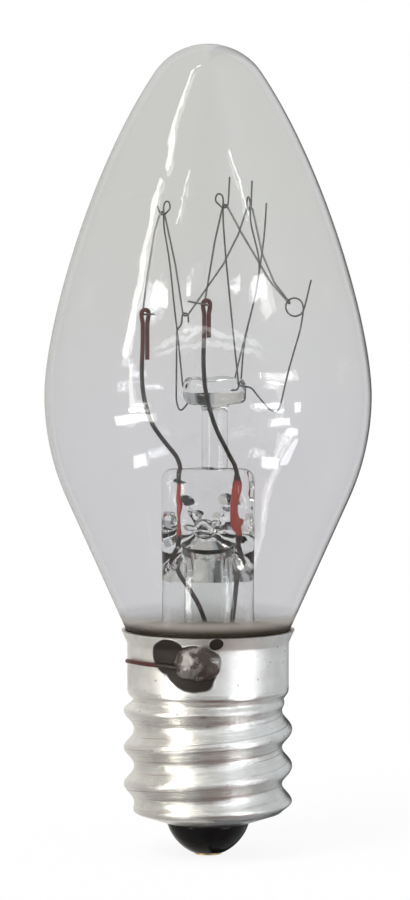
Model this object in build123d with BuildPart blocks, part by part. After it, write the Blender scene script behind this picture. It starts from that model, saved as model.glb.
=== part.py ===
from build123d import *
import os
from math import acos, asin, atan2, cos, degrees, hypot, radians, sin, tan

# A clear candle-shaped filament lamp on a small screw base, in millimetres.
# The origin is the middle of the flat end contact. +Z runs up the lamp's axis to
# the tip of the glass, and -Y is the side that carries the soldered lead.

# Glass envelope
overall_length = 55.6
glass_diameter = 22.4
widest_above_rim = 16.05
tip_radius = 4.4
tip_join_angle = 34.0
tip_pull = 8.0
shoulder_pull = 4.5
lower_belly_radius = 17.0
neck_gap = 0.1
neck_blend_radius = 2.0
glass_rim_gap = 0.07
neck_depth = 3.75
glass_wall = 0.5

# Screw shell, rolled from thin sheet
rim_height = 15.55
thread_crest_diameter = 11.6
thread_depth = 0.7
collar_below_crest = 0.25
thread_pitch = 2.54
thread_crest_radius = 1.1
thread_above_floor = 1.05
thread_past_step = 0.15
thread_run_out = 0.8
neck_above_step = 1.05
flare_height = 0.9
shell_wall = 0.25
shell_floor_height = 2.2
shell_floor_rise = 0.75
shell_mouth_diameter = 5.76
shell_corner_radius = 0.6
shell_bend_radius = 0.3

# Insulator and end contact
insulator_flange_gap = 0.55
insulator_flange_height = 1.3
insulator_hole_diameter = 1.0
insulator_face_diameter = 2.3
insulator_bulge = 0.22
contact_diameter = 1.9
contact_thickness = 0.14
contact_sleeve_length = 2.1
contact_wall = 0.12

# Stem: flared tube with a pinched top, exhaust tube and glass rod
stem_diameter = 6.3
stem_wall = 0.6
stem_flare_length = 5.2
tube_above_rim = 4.9
pinch_above_rim = 6.6
press_top_above_rim = 11.05
press_width = 6.4
press_thickness = 2.7
press_edge_radius = 0.5
exhaust_diameter = 3.3
exhaust_wall = 0.6
exhaust_seat = 0.6
exhaust_length = 15.4
exhaust_taper = 1.6
rod_diameter = 1.78
rod_offset = 0.45
rod_seat = 1.2
button_diameter = 4.4
button_thickness = 1.85
button_above_press = 4.4
button_edge_radius = 0.75

# Wires
lead_diameter = 0.3
seal_wire_diameter = 0.36
outer_lead_diameter = 0.3
support_diameter = 0.12
filament_diameter = 0.17
seal_depth = 0.7
bend_share = 0.45
tightest_filament_bend = 0.26
clamp_half_gap = 0.25
clamp_squeeze = 0.165
clamp_headroom = 0.3
support_seat = 0.7
low_level_share = 0.1846
high_level_share = 0.5033
wire_gap = 0.02
seal_half_span = 1.9
clamp_angle = 20
left_clamp_length = 3.1
right_clamp_length = 2.2
turn_half_width = 0.2
loop_depth = 0.16
ring_radius = 0.62
ring_heading = -15
ring_corners = 8
tail_step = 18
tail_lift = 0.3

# Solder, cement and lead hole
side_solder_offset = -0.69
side_solder_below_rim = 1.75
side_solder_width = 3.3
side_solder_height = 2.4
side_solder_bulge = 0.72
lead_hole_diameter = 0.62
lead_hole_below_rim = 2.25
cement_top_below_rim = 0.25
cement_below_neck = 0.6
cement_lip = 0.3
fit_gap = 0.04

crest_radius = thread_crest_diameter / 2
root_radius = crest_radius - thread_depth
collar_radius = crest_radius - collar_below_crest
collar_inside = collar_radius - shell_wall
mouth_radius = shell_mouth_diameter / 2
glass_radius = glass_diameter / 2
neck_radius = root_radius - shell_wall - neck_gap
widest_height = rim_height + widest_above_rim
neck_bottom = rim_height - neck_depth
press_top = rim_height + press_top_above_rim
tube_top = rim_height + tube_above_rim
pinch_height = rim_height + pinch_above_rim
button_bottom = press_top + button_above_press
button_top = button_bottom + button_thickness
button_radius = button_diameter / 2
headroom = overall_length - button_top
low_level = button_top + low_level_share * headroom
high_level = button_top + high_level_share * headroom
collar_step_height = neck_bottom - neck_above_step
thread_bottom_height = shell_floor_height + thread_above_floor
thread_top_height = collar_step_height + thread_past_step

os.makedirs("parts", exist_ok=True)


def write_piece(piece, label):
    """Label a finished piece and write it."""
    piece.part.label = label
    export_step(piece.part, f"parts/{label}.step")


def polar(centre, radius, angle):
    """The point of a circle in the half section at an angle above the horizontal."""
    return centre[0] + radius * cos(radians(angle)), centre[1] + radius * sin(radians(angle))


# The lower belly is an arc. The cone below it touches that arc and clears the inside
# of the collar's top by a small gap, and a reversed arc blends it into the neck. The
# collar's rim flares out along the cone.
belly_centre = (glass_radius - lower_belly_radius, widest_height)
flare_foot = rim_height - flare_height
cone_at_foot = collar_inside - glass_rim_gap
foot_run = cone_at_foot - belly_centre[0]
foot_drop = widest_height - flare_foot
cone_slope = atan2(foot_drop, foot_run) - acos(lower_belly_radius / hypot(foot_run, foot_drop))
cone_angle = degrees(cone_slope)
rim_radius = collar_radius + flare_height * tan(cone_slope)
blend_run = neck_radius + neck_blend_radius - cone_at_foot
blend_drop = (neck_blend_radius - blend_run * cos(cone_slope)) / sin(cone_slope)
neck_blend_height = flare_foot - blend_drop
blend_centre = (neck_radius + neck_blend_radius, neck_blend_height)
tip_centre = (0, overall_length - tip_radius)


def draw_envelope(inset):
    """Draw the glass outline from the tip to the end of the neck, moved in by inset."""
    CenterArc(tip_centre, tip_radius - inset, 90, tip_join_angle - 90)
    join = polar(tip_centre, tip_radius - inset, tip_join_angle)
    pull = polar(join, tip_pull, tip_join_angle - 90)
    widest = (glass_radius - inset, widest_height)
    Bezier(join, pull, (widest[0], widest[1] + shoulder_pull), widest)
    CenterArc(belly_centre, lower_belly_radius - inset, 0, -cone_angle)
    cone_top = polar(belly_centre, lower_belly_radius - inset, -cone_angle)
    cone_bottom = polar(blend_centre, neck_blend_radius + inset, 180 - cone_angle)
    Line(cone_top, cone_bottom)
    CenterArc(blend_centre, neck_blend_radius + inset, 180 - cone_angle, cone_angle)
    Line((neck_radius - inset, neck_blend_height), (neck_radius - inset, neck_bottom))


def bend_radii(points, largest):
    """The arc at each corner, as large as the shorter of its two runs allows."""
    radii = []
    for before, corner, after in zip(points, points[1:], points[2:]):
        run_in = Vector(corner) - Vector(before)
        run_out = Vector(after) - Vector(corner)
        half_turn = radians(run_in.get_angle(run_out)) / 2
        radius = bend_share * min(run_in.length, run_out.length) / tan(half_turn)
        radii.append(min(radius, largest))
    return radii


def bent_wire(points, diameter, largest_bend=40.0):
    """A round wire along straight runs that are joined by tangent arcs."""
    with BuildPart() as wire:
        with BuildLine() as route:
            FilletPolyline(*points, radius=bend_radii(points, largest_bend))
        with BuildSketch(Plane(origin=route.line @ 0, z_dir=route.line % 0)):
            Circle(diameter / 2)
        sweep(path=route.line)
    return wire


def heading(angle, distance):
    """A level step of some distance at an angle from +X."""
    return Vector(distance * cos(radians(angle)), distance * sin(radians(angle)), 0)


def astride(apex, angle, half_width):
    """Two points at the apex's height, one on each side of it along a heading."""
    return [apex - heading(angle, half_width), apex + heading(angle, half_width)]


def climb(share):
    """A height between the button's top and the filament's upper hooks."""
    return button_top + share * (high_level - button_top)


def bowed(start, end, bows):
    """Points between two ends. Each bow is a share of the way and a step off the line."""
    return [start + (end - start) * share + Vector(*step) for share, step in bows]


# Glass envelope
with BuildPart() as glass_envelope:
    with BuildSketch(Plane.XZ):
        with BuildLine():
            draw_envelope(0)
            draw_envelope(glass_wall)
            Line((0, overall_length), (0, overall_length - glass_wall))
            Line((neck_radius, neck_bottom), (neck_radius - glass_wall, neck_bottom))
        make_face()
    revolve(axis=Axis.Z)
write_piece(glass_envelope, "glass_envelope")


def threaded_form(inset, top):
    """The shell's outer form as a filled solid, moved in by inset and open to a top height."""
    floor = shell_floor_height + inset
    corner_height = floor + shell_floor_rise
    root = root_radius - inset
    collar = collar_radius - inset
    rim = rim_radius - inset
    step_height = collar_step_height + collar_radius - root_radius
    profile = [
        (0, floor),
        (mouth_radius, floor),
        (root, corner_height),
        (root, collar_step_height),
        (collar, step_height),
        (collar, flare_foot),
        (rim, rim_height),
        (rim, top),
        (0, top),
    ]
    if top <= rim_height:
        profile.remove((rim, top))
    corner = shell_corner_radius - inset
    with BuildPart() as form:
        with BuildSketch(Plane.XZ):
            with BuildLine():
                Polyline(*profile, close=True)
            make_face()
        revolve(axis=Axis.Z)
        corner_circle = form.edges().filter_by(GeomType.CIRCLE).filter_by(
            lambda edge: abs(edge.center().Z - corner_height) < 0.01
        )
        fillet(corner_circle, corner)
        bends = form.edges().filter_by(GeomType.CIRCLE).filter_by(
            lambda edge: collar_step_height - 0.01 < edge.center().Z < rim_height - 0.1
        )
        fillet(bends, shell_bend_radius)
    return form


def thread_ridge(inset):
    """The rolled ridge of the thread, faded out at both ends."""
    ridge_radius = crest_radius - thread_crest_radius
    lead_in = thread_pitch / 2
    start_height = thread_bottom_height - lead_in
    run = thread_top_height + lead_in - start_height
    root = root_radius - inset - 2 * shell_wall
    crest = crest_radius - inset + 0.8 * shell_wall
    with BuildPart() as ridge:
        with BuildLine(Plane.XY.offset(start_height)) as path:
            Helix(thread_pitch, run, ridge_radius)
        with BuildSketch(Plane(origin=path.line @ 0, z_dir=path.line % 0)):
            Circle(thread_crest_radius - inset)
        sweep(path=path.line, is_frenet=True)
        with BuildSketch(Plane.XZ):
            with BuildLine():
                Polyline(
                    (0, thread_bottom_height + inset),
                    (root, thread_bottom_height + inset),
                    (crest, thread_bottom_height + inset + thread_run_out),
                    (crest, thread_top_height - inset - thread_run_out),
                    (root, thread_top_height - inset),
                    (0, thread_top_height - inset),
                    close=True,
                )
            make_face()
        revolve(axis=Axis.Z, mode=Mode.INTERSECT)
    return ridge


outer_form = threaded_form(0, rim_height)
inner_form = threaded_form(shell_wall, rim_height + 4 * shell_wall)
outer_ridge = thread_ridge(0)
inner_ridge = thread_ridge(shell_wall)

# The lead leaves through a small hole in the collar, under the side solder.
collar_angle = degrees(asin(side_solder_offset / collar_radius)) - 90
lead_hole_height = rim_height - lead_hole_below_rim
lead_hole_plane = Plane(
    origin=heading(collar_angle, collar_radius - 2 * shell_wall) + Vector(0, 0, lead_hole_height),
    z_dir=heading(collar_angle, 1),
)

with BuildPart() as screw_shell:
    add(outer_form.part)
    add(outer_ridge.part)
    add(inner_form.part, mode=Mode.SUBTRACT)
    add(inner_ridge.part, mode=Mode.SUBTRACT)
    with BuildSketch(Plane.XY):
        Circle(mouth_radius)
    extrude(amount=shell_floor_height + 3 * shell_wall, mode=Mode.SUBTRACT)
    with BuildSketch(lead_hole_plane):
        Circle(lead_hole_diameter / 2)
    extrude(amount=4 * shell_wall, mode=Mode.SUBTRACT)
write_piece(screw_shell, "screw_shell")

# Wires that hold, feed and make up the filament. Their bends are chosen by hand.
seal_top = press_top - seal_depth
seal_bottom = pinch_height - seal_depth
left_eye = Vector(-4.3, -0.5, low_level + 0.15)
right_eye = Vector(-0.1, -3.9, low_level + 0.92)
top_left = Vector(-3.15, 3.0, high_level - 0.2)
low_back = Vector(-1.58, 4.1, low_level - 0.15)
top_back = Vector(2.88, 3.3, high_level + 0.1)
right_ring = Vector(5.58, 0.3, low_level + 0.87)
top_front = Vector(1.12, -3.3, high_level + 0.4)
hook_clearance = (filament_diameter + support_diameter) / 2 + wire_gap
button_centre = Vector(rod_offset, 0, button_bottom + button_thickness / 2)


def clamp_end(eye, length):
    """The folded end of a lead: up one side of the eye, over it and down, squeezed below it."""
    near, far = astride(eye, clamp_angle, clamp_half_gap)
    near_leg, far_leg = astride(eye, clamp_angle, clamp_squeeze)
    over = Vector(0, 0, clamp_headroom)
    shoulder = Vector(0, 0, 0.2)
    waist = Vector(0, 0, 0.55)
    return [
        near_leg - Vector(0, 0, 0.7 * length),
        near_leg - waist,
        near - shoulder,
        near + over,
        far + over,
        far - shoulder,
        far_leg - waist,
        far_leg - Vector(0, 0, length),
    ]


def button_exit(angle, rise):
    """Where a support is held in the glass button, and where it leaves the rim."""
    lift = Vector(0, 0, rise)
    held = button_centre + heading(angle, button_radius - support_seat) + lift
    return [held, button_centre + heading(angle, button_radius + 0.3) + lift]


def in_plane(apex, angle, steps):
    """Points of a hook near its upright plane, as steps along a heading, up and aside."""
    return [
        apex + heading(angle, along) + heading(angle + 90, aside) + Vector(0, 0, up)
        for along, up, aside in steps
    ]


def pigtail(apex, angle, reach, tail, side=1):
    """A hook that holds the filament up: a small loop beside it, then under it and up."""
    under = -hook_clearance - 0.01
    beside = -hook_clearance - 0.05
    ahead = side * loop_depth
    steps = [
        (beside, -1.0, ahead),
        (beside, 0.0, ahead),
        (beside + 0.04, 0.4, 0.8 * ahead),
        (beside - 0.08, 0.72, 0.6 * ahead),
        (0.75 * beside - 0.6 * reach, 0.76, 0.4 * ahead),
        (-reach, 0.5, 0.1 * ahead),
        (-reach + 0.03, 0.22, -0.1 * ahead),
        (-0.16, under, -0.3 * ahead),
        (0.14, under, -0.3 * ahead),
        (0.3, 0.06, -0.3 * ahead),
        (0.42, tail, -0.3 * ahead),
    ]
    return in_plane(apex, angle, steps)


def drop_hook(apex, angle):
    """A hook that holds the filament down: up one side, over it and down the other."""
    over = hook_clearance + 0.02
    steps = [
        (-0.34, -0.62, 0),
        (-0.3, 0.02, 0),
        (-0.13, over, 0),
        (0.13, over, 0),
        (0.3, 0.02, 0),
        (0.32, -0.45, 0),
    ]
    return in_plane(apex, angle, steps)


inner_lead_left = bent_wire(
    [
        Vector(-seal_half_span, 0, seal_top),
        Vector(-seal_half_span, 0, press_top + 0.2),
        Vector(-2.15, -0.05, press_top + 0.85),
        Vector(-3.1, -0.15, press_top + 2.0),
        Vector(-3.9, -0.3, press_top + 3.15),
        Vector(-4.42, -0.48, button_bottom + 0.55),
        Vector(-4.54, -0.55, button_top + 0.3),
    ]
    + clamp_end(left_eye, left_clamp_length),
    lead_diameter,
)
write_piece(inner_lead_left, "inner_lead_left")

inner_lead_right = bent_wire(
    [
        Vector(seal_half_span, 0, seal_top),
        Vector(seal_half_span, 0, press_top + 0.15),
        Vector(1.55, -0.3, press_top + 0.75),
        Vector(1.15, -0.9, press_top + 1.6),
        Vector(0.6, -1.75, press_top + 2.7),
        Vector(0.15, -button_radius - 0.42, button_bottom - 0.35),
        Vector(-0.2, -button_radius - 0.95, button_bottom + 1.2),
        Vector(-0.33, -button_radius - 1.45, button_top + 1.2),
    ]
    + clamp_end(right_eye, right_clamp_length),
    lead_diameter,
)
write_piece(inner_lead_right, "inner_lead_right")

seal_wires = []
for label, side in (("seal_wire_left", -1), ("seal_wire_right", 1)):
    seal_wire = bent_wire(
        [
            Vector(side * seal_half_span, 0, seal_top),
            Vector(side * seal_half_span, 0, seal_top - 0.5),
            Vector(side * seal_half_span - 0.2, 0, (seal_top + seal_bottom) / 2),
            Vector(side * seal_half_span, 0, seal_bottom + 0.5),
            Vector(side * seal_half_span, 0, seal_bottom),
        ],
        seal_wire_diameter,
    )
    seal_wires.append(seal_wire)
    write_piece(seal_wire, label)

lead_channel = (neck_radius + collar_inside) / 2
tail_radius = collar_radius + outer_lead_diameter / 2 + fit_gap
lead_ring = (exhaust_diameter / 2 + stem_diameter / 2 - stem_wall) / 2


def in_tube(angle, height):
    """A point of an outer lead, in the ring between the exhaust tube and the stem's tube."""
    return heading(angle, lead_ring) + Vector(0, 0, height)


outer_lead_side = bent_wire(
    [
        Vector(seal_half_span, 0, seal_bottom),
        Vector(seal_half_span, 0, seal_bottom - 0.7),
        in_tube(-17, tube_top - 0.6),
        in_tube(-30, tube_top - 2.1),
        in_tube(-38, tube_top - 3.5),
        in_tube(-45, rim_height),
        Vector(1.2, -1.9, rim_height - 2.5),
        heading(-79, lead_channel - 1.9) + Vector(0, 0, neck_bottom - 0.9),
        heading(collar_angle, lead_channel - 0.8) + Vector(0.1, 0, neck_bottom - 1.3),
        heading(collar_angle, lead_channel) + Vector(0, 0, neck_bottom - 0.5),
        heading(collar_angle, lead_channel) + Vector(0, 0, lead_hole_height),
        heading(collar_angle, tail_radius + 0.1) + Vector(0, 0, lead_hole_height),
    ]
    + [
        heading(collar_angle - 4 - tail_step * count, tail_radius / cos(radians(tail_step / 2)))
        + Vector(0, 0, lead_hole_height + tail_lift)
        for count in (1, 2, 3)
    ]
    + [heading(collar_angle - 66, tail_radius + 0.02) + Vector(0, 0, lead_hole_height + 0.25)],
    outer_lead_diameter,
)
write_piece(outer_lead_side, "outer_lead_side")

outer_lead_centre = bent_wire(
    [
        Vector(-seal_half_span, 0, seal_bottom),
        Vector(-seal_half_span, 0, seal_bottom - 0.6),
        in_tube(187, tube_top - 0.3),
        in_tube(221, tube_top - 1.4),
        in_tube(255, tube_top - 3.0),
        in_tube(270, tube_top - 4.8),
        in_tube(276, rim_height - 4.0),
        in_tube(270, rim_height - 8.5),
        Vector(0.0, -1.2, rim_height - 10.6),
        Vector(0.0, -0.05, rim_height - 11.6),
        Vector(0.0, 0.0, contact_sleeve_length),
        Vector(0.01, 0.0, 0.35),
    ],
    outer_lead_diameter,
)
write_piece(outer_lead_centre, "outer_lead_centre")

supports = {
    "support_top_left": button_exit(150, 0.0)
    + [
        Vector(-2.03, 1.45, climb(0.21)),
        Vector(-2.3, 1.9, climb(0.4)),
        Vector(-2.65, 2.35, climb(0.7)),
    ]
    + pigtail(top_left, 149, 0.64, 0.42),
    "support_low_back": button_exit(128, -0.35)
    + [
        Vector(-1.5, 2.5, button_bottom - 0.25),
        Vector(-1.95, 3.05, button_bottom - 0.7),
        Vector(-2.2, 3.5, button_bottom - 0.05),
        Vector(-2.16, 3.95, climb(0.27)),
    ]
    + drop_hook(low_back, -45),
    "support_top_back": button_exit(60, 0.1)
    + [
        Vector(2.45, 2.75, climb(0.2)),
        Vector(3.35, 3.2, climb(0.5)),
        Vector(3.62, 3.4, climb(0.68)),
    ]
    + pigtail(top_back, 62, 0.45, 1.85, -1),
    "support_top_front": button_exit(-48, 0.15)
    + [
        Vector(1.88, -1.95, climb(0.13)),
        Vector(1.6, -2.25, climb(0.37)),
        Vector(1.18, -2.85, climb(0.74)),
    ]
    + pigtail(top_front, -30, 0.72, 1.9),
    "support_straight": button_exit(44, 0.2)
    + [
        Vector(2.45, 1.5, climb(0.2)),
        Vector(3.3, 1.15, climb(0.5)),
        Vector(3.85, 1.0, climb(0.83)),
        Vector(4.0, 0.95, climb(1.04)),
    ],
}

# The right-hand support ends in an open ring with a tail, one wire's depth apart.
ring_corner_radius = ring_radius / cos(radians(180 / ring_corners))
ring_centre = right_ring + heading(ring_heading, 0.36) - Vector(0, 0, 0.26)
ring_depth = heading(ring_heading + 90, 2.2 * support_diameter)
ring_points = []
for count in range(ring_corners + 1):
    share = count / ring_corners
    ring_points.append(
        ring_centre
        + heading(ring_heading, ring_corner_radius * cos(radians(360 * share)))
        + Vector(0, 0, ring_corner_radius * sin(radians(360 * share)))
        + ring_depth * (share - 0.5)
    )
supports["support_right_ring"] = (
    button_exit(-4, 0.3)
    + [
        Vector(3.35, -0.05, button_bottom + 0.66),
        Vector(4.25, 0.0, button_bottom - 0.4),
        Vector(4.75, 0.0, button_bottom - 0.6),
        Vector(5.0, 0.05, button_bottom + 0.1),
        Vector(5.5, 0.0, button_top + 0.5),
        Vector(6.35, -0.1, low_level - 0.8),
    ]
    + ring_points
    + [right_ring + heading(ring_heading, 1.45) + ring_depth + Vector(0, 0, 1.6)]
)
support_wires = []
for label, points in supports.items():
    support = bent_wire(points, support_diameter)
    support_wires.append(support)
    write_piece(support, label)

filament_points = (
    [
        left_eye + Vector(0.66, -0.5, 0.05),
        left_eye + Vector(0.14, -0.42, 0),
        left_eye + Vector(-0.16, 0.48, 0),
    ]
    + bowed(left_eye, top_left, [(0.3, (-0.26, 0, 0)), (0.82, (-0.3, 0, 0))])
    + astride(top_left, 52, turn_half_width)
    + bowed(top_left, low_back, [(0.5, (0.1, -0.1, 0))])
    + astride(low_back, 45, turn_half_width)
    + bowed(low_back, top_back, [(0.48, (0.5, 0, 0)), (0.76, (0.3, 0, 0))])
    + astride(top_back, -25, turn_half_width)
    + bowed(top_back, right_ring, [(0.48, (-0.45, 0, 0)), (0.78, (-0.45, 0, 0))])
    + astride(right_ring, -105, turn_half_width)
    + bowed(right_ring, top_front, [(0.22, (-0.35, 0, 0)), (0.72, (-0.12, 0, 0))])
    + astride(top_front, -124, turn_half_width)
    + bowed(top_front, right_eye, [(0.36, (-0.22, 0.1, 0))])
    + [
        right_eye + Vector(-0.15, 0.45, 0.02),
        right_eye + Vector(0.2, -0.6, 0),
        right_eye + Vector(-1.25, -0.66, 0.28),
    ]
)
filament = bent_wire(filament_points, filament_diameter, tightest_filament_bend)
write_piece(filament, "filament")


def add_tube_section(reduction):
    """Draw half the flared tube's section line, moved in by a reduction of the radius."""
    lip = neck_radius - glass_wall - reduction
    bore = stem_diameter / 2 - reduction
    flare_top = neck_bottom + stem_flare_length
    Bezier(
        (lip, neck_bottom),
        (lip, neck_bottom + 0.35 * stem_flare_length),
        (bore, flare_top - 0.5 * stem_flare_length),
        (bore, flare_top),
    )
    Line((bore, flare_top), (bore, tube_top))
    Polyline((bore, tube_top), (0, tube_top), (0, neck_bottom), (lip, neck_bottom))


def stem_form(reduction, width, thickness, pinch):
    """A flared tube that runs up into a flat pinch, as a filled solid."""
    with BuildPart() as form:
        with BuildSketch(Plane.XZ):
            with BuildLine():
                add_tube_section(reduction)
            make_face()
        revolve(axis=Axis.Z)
        with BuildSketch(Plane.XY.offset(tube_top)):
            Circle(stem_diameter / 2 - reduction)
        with BuildSketch(Plane.XY.offset(pinch)):
            SlotOverall(width, thickness)
        loft()
    return form


hollow_height = pinch_height - seal_depth - 0.5
stem_hollow = stem_form(stem_wall, press_width - 3 * stem_wall, lead_diameter * 3, hollow_height)
exhaust_top = tube_top + exhaust_seat
with BuildPart() as stem:
    add(stem_form(0, press_width, press_thickness, pinch_height).part)
    with BuildSketch(Plane.XY.offset(pinch_height)):
        SlotOverall(press_width, press_thickness)
    extrude(amount=press_top - pinch_height)
    fillet(stem.edges().group_by(Axis.Z)[-1], press_edge_radius)
    add(stem_hollow.part, mode=Mode.SUBTRACT)
    with BuildSketch(Plane.XY.offset(tube_top - 1)):
        Circle(exhaust_diameter / 2)
    extrude(amount=exhaust_seat + 1, mode=Mode.SUBTRACT)
    with BuildSketch(Plane.XY.offset(press_top - rod_seat)):
        with Locations((rod_offset, 0)):
            Circle(rod_diameter / 2)
    extrude(amount=rod_seat + 1, mode=Mode.SUBTRACT)
    for wire in [inner_lead_left, inner_lead_right, outer_lead_side, outer_lead_centre] + seal_wires:
        add(wire.part, mode=Mode.SUBTRACT)
write_piece(stem, "stem")

# The exhaust tube hangs from the pinch and is melted shut inside the base.
exhaust_bottom = exhaust_top - exhaust_length
exhaust_radius = exhaust_diameter / 2
exhaust_bore = exhaust_radius - exhaust_wall
with BuildPart() as exhaust_tube:
    with BuildSketch(Plane.XZ):
        with BuildLine():
            Bezier(
                (exhaust_radius, exhaust_bottom + exhaust_taper),
                (exhaust_radius, exhaust_bottom + 0.4 * exhaust_taper),
                (0.3 * exhaust_radius, exhaust_bottom),
                (0, exhaust_bottom),
            )
            Bezier(
                (exhaust_bore, exhaust_bottom + 2 * exhaust_taper),
                (exhaust_bore, exhaust_bottom + exhaust_taper),
                (0.3 * exhaust_bore, exhaust_bottom + 0.8 * exhaust_taper),
                (0, exhaust_bottom + 0.8 * exhaust_taper),
            )
            Polyline(
                (exhaust_radius, exhaust_bottom + exhaust_taper),
                (exhaust_radius, exhaust_top),
                (exhaust_bore, exhaust_top),
                (exhaust_bore, exhaust_bottom + 2 * exhaust_taper),
            )
            Line((0, exhaust_bottom), (0, exhaust_bottom + 0.8 * exhaust_taper))
        make_face()
    revolve(axis=Axis.Z)
write_piece(exhaust_tube, "exhaust_tube")

# A solid glass rod stands in the pinch. Its top is melted into a button.
rod_axis = Axis((rod_offset, 0, 0), (0, 0, 1))
rod_plane = Plane(origin=(rod_offset, 0, 0), x_dir=(1, 0, 0), z_dir=(0, -1, 0))
rod_bottom = press_top - rod_seat
rod_radius = rod_diameter / 2
button_round = min(button_edge_radius, 0.45 * button_thickness, 0.6 * (button_radius - rod_radius))
with BuildPart() as button_rod:
    with BuildSketch(rod_plane):
        with BuildLine():
            FilletPolyline(
                (0, rod_bottom),
                (rod_radius, rod_bottom),
                (rod_radius, button_bottom),
                (button_radius, button_bottom),
                (button_radius, button_top),
                (0, button_top),
                radius=[0, button_round / 2, button_round, button_round],
            )
            Line((0, button_top), (0, rod_bottom))
        make_face()
    revolve(axis=rod_axis)
    for support in support_wires:
        add(support.part, mode=Mode.SUBTRACT)
write_piece(button_rod, "button_rod")

# The black insulator fills the shell's mouth and is held by the curled-in floor.
hole_radius = insulator_hole_diameter / 2
flange_radius = root_radius - shell_wall - insulator_flange_gap
floor_slope = shell_floor_rise / (root_radius - shell_wall - mouth_radius)
inner_floor = shell_floor_height + shell_wall + fit_gap
flange_edge = inner_floor + floor_slope * (flange_radius - mouth_radius)
flange_top = flange_edge + insulator_flange_height
funnel_radius = flange_radius / 2
insulator_neck = mouth_radius - fit_gap
face_edge = (insulator_face_diameter / 2, contact_thickness)
mouth_edge = (insulator_neck, shell_floor_height)
with BuildPart() as insulator:
    with BuildSketch(Plane.XZ):
        with BuildLine():
            SagittaArc(face_edge, mouth_edge, -insulator_bulge)
            Polyline(
                mouth_edge,
                (insulator_neck, inner_floor),
                (flange_radius, flange_edge),
                (flange_radius, flange_top),
                (funnel_radius, flange_top),
                (hole_radius, inner_floor + fit_gap),
                (hole_radius, contact_thickness),
                face_edge,
            )
        make_face()
    revolve(axis=Axis.Z)
write_piece(insulator, "insulator")

sleeve_radius = hole_radius - fit_gap / 2
with BuildPart() as contact_eyelet:
    with BuildSketch(Plane.XY):
        Circle(contact_diameter / 2)
    extrude(amount=contact_thickness)
    fillet(contact_eyelet.edges().group_by(Axis.Z)[0], contact_thickness / 3)
    with BuildSketch(Plane.XY):
        Circle(sleeve_radius)
    extrude(amount=contact_sleeve_length)
    with BuildSketch(Plane.XY):
        Circle(sleeve_radius - contact_wall)
    extrude(amount=contact_sleeve_length, mode=Mode.SUBTRACT)
write_piece(contact_eyelet, "contact_eyelet")

with BuildPart() as centre_solder:
    with BuildSketch(Plane.XY.offset(fit_gap)):
        Circle(sleeve_radius - contact_wall)
    extrude(amount=contact_sleeve_length / 2)
    add(outer_lead_centre.part, mode=Mode.SUBTRACT)
write_piece(centre_solder, "centre_solder")

# The side solder is a low dome that is seated on the collar and covers the lead's hole.
solder_plane = Plane(
    origin=heading(collar_angle, collar_radius) + Vector(0, 0, rim_height - side_solder_below_rim),
    x_dir=heading(collar_angle + 90, 1),
    z_dir=heading(collar_angle, 1),
)
# Steps of the dome: a share of its bulge, and a share of its width at that rise.
dome_steps = [(-0.45, 1.04), (0.0, 1.0), (0.5, 0.8), (0.85, 0.46), (1.0, 0.14)]
with BuildPart() as side_solder:
    for rise, share in dome_steps:
        with BuildSketch(solder_plane.offset(side_solder_bulge * rise)):
            Ellipse(share * side_solder_width / 2, share * side_solder_height / 2)
    loft()
    add(outer_form.part, mode=Mode.SUBTRACT)
    add(outer_lead_side.part, mode=Mode.SUBTRACT)
write_piece(side_solder, "side_solder")

# Cement fills the ring between the glass neck and the collar.
with BuildPart() as glass_body:
    with BuildSketch(Plane.XZ):
        with BuildLine():
            draw_envelope(0)
            Polyline((neck_radius, neck_bottom), (0, neck_bottom), (0, overall_length))
        make_face()
    revolve(axis=Axis.Z)

cement_bottom = neck_bottom - cement_below_neck
with BuildPart() as basing_cement:
    with BuildSketch(Plane.XY.offset(cement_bottom)):
        Circle(rim_radius)
        Circle(neck_radius - cement_lip, mode=Mode.SUBTRACT)
    extrude(amount=rim_height - cement_top_below_rim - cement_bottom)
    add(inner_form.part, mode=Mode.INTERSECT)
    add(glass_body.part, mode=Mode.SUBTRACT)
    add(outer_lead_side.part, mode=Mode.SUBTRACT)
write_piece(basing_cement, "basing_cement")
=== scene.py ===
from math import acos, atan2, cos, degrees, exp, hypot, pi, radians, sin, tan

import bmesh
import bpy
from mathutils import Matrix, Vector, noise


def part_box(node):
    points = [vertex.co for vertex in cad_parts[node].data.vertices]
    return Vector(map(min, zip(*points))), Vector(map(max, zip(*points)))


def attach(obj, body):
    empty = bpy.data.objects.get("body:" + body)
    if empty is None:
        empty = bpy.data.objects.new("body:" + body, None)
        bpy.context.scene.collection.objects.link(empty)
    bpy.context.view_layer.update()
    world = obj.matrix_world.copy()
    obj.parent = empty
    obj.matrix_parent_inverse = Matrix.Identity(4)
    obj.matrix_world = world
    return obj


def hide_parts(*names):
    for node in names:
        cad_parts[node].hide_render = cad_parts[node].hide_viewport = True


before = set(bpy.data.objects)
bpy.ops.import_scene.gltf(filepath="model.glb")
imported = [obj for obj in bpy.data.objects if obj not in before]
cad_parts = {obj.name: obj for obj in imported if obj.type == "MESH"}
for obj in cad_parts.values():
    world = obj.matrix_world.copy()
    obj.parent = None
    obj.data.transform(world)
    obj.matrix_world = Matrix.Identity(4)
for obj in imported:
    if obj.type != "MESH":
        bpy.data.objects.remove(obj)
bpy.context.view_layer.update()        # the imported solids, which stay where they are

bl_info = {
    "name": "Filament lamp looks",
    "version": (1, 0, 0),
    "blender": (4, 5, 0),
    "location": "View3D > Sidebar > Lamp",
    "description": "Dresses a clear candle-shaped filament lamp: glass, metal, wires and stage",
    "category": "Object",
}

MM = 0.001
BODY = "root"

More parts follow.
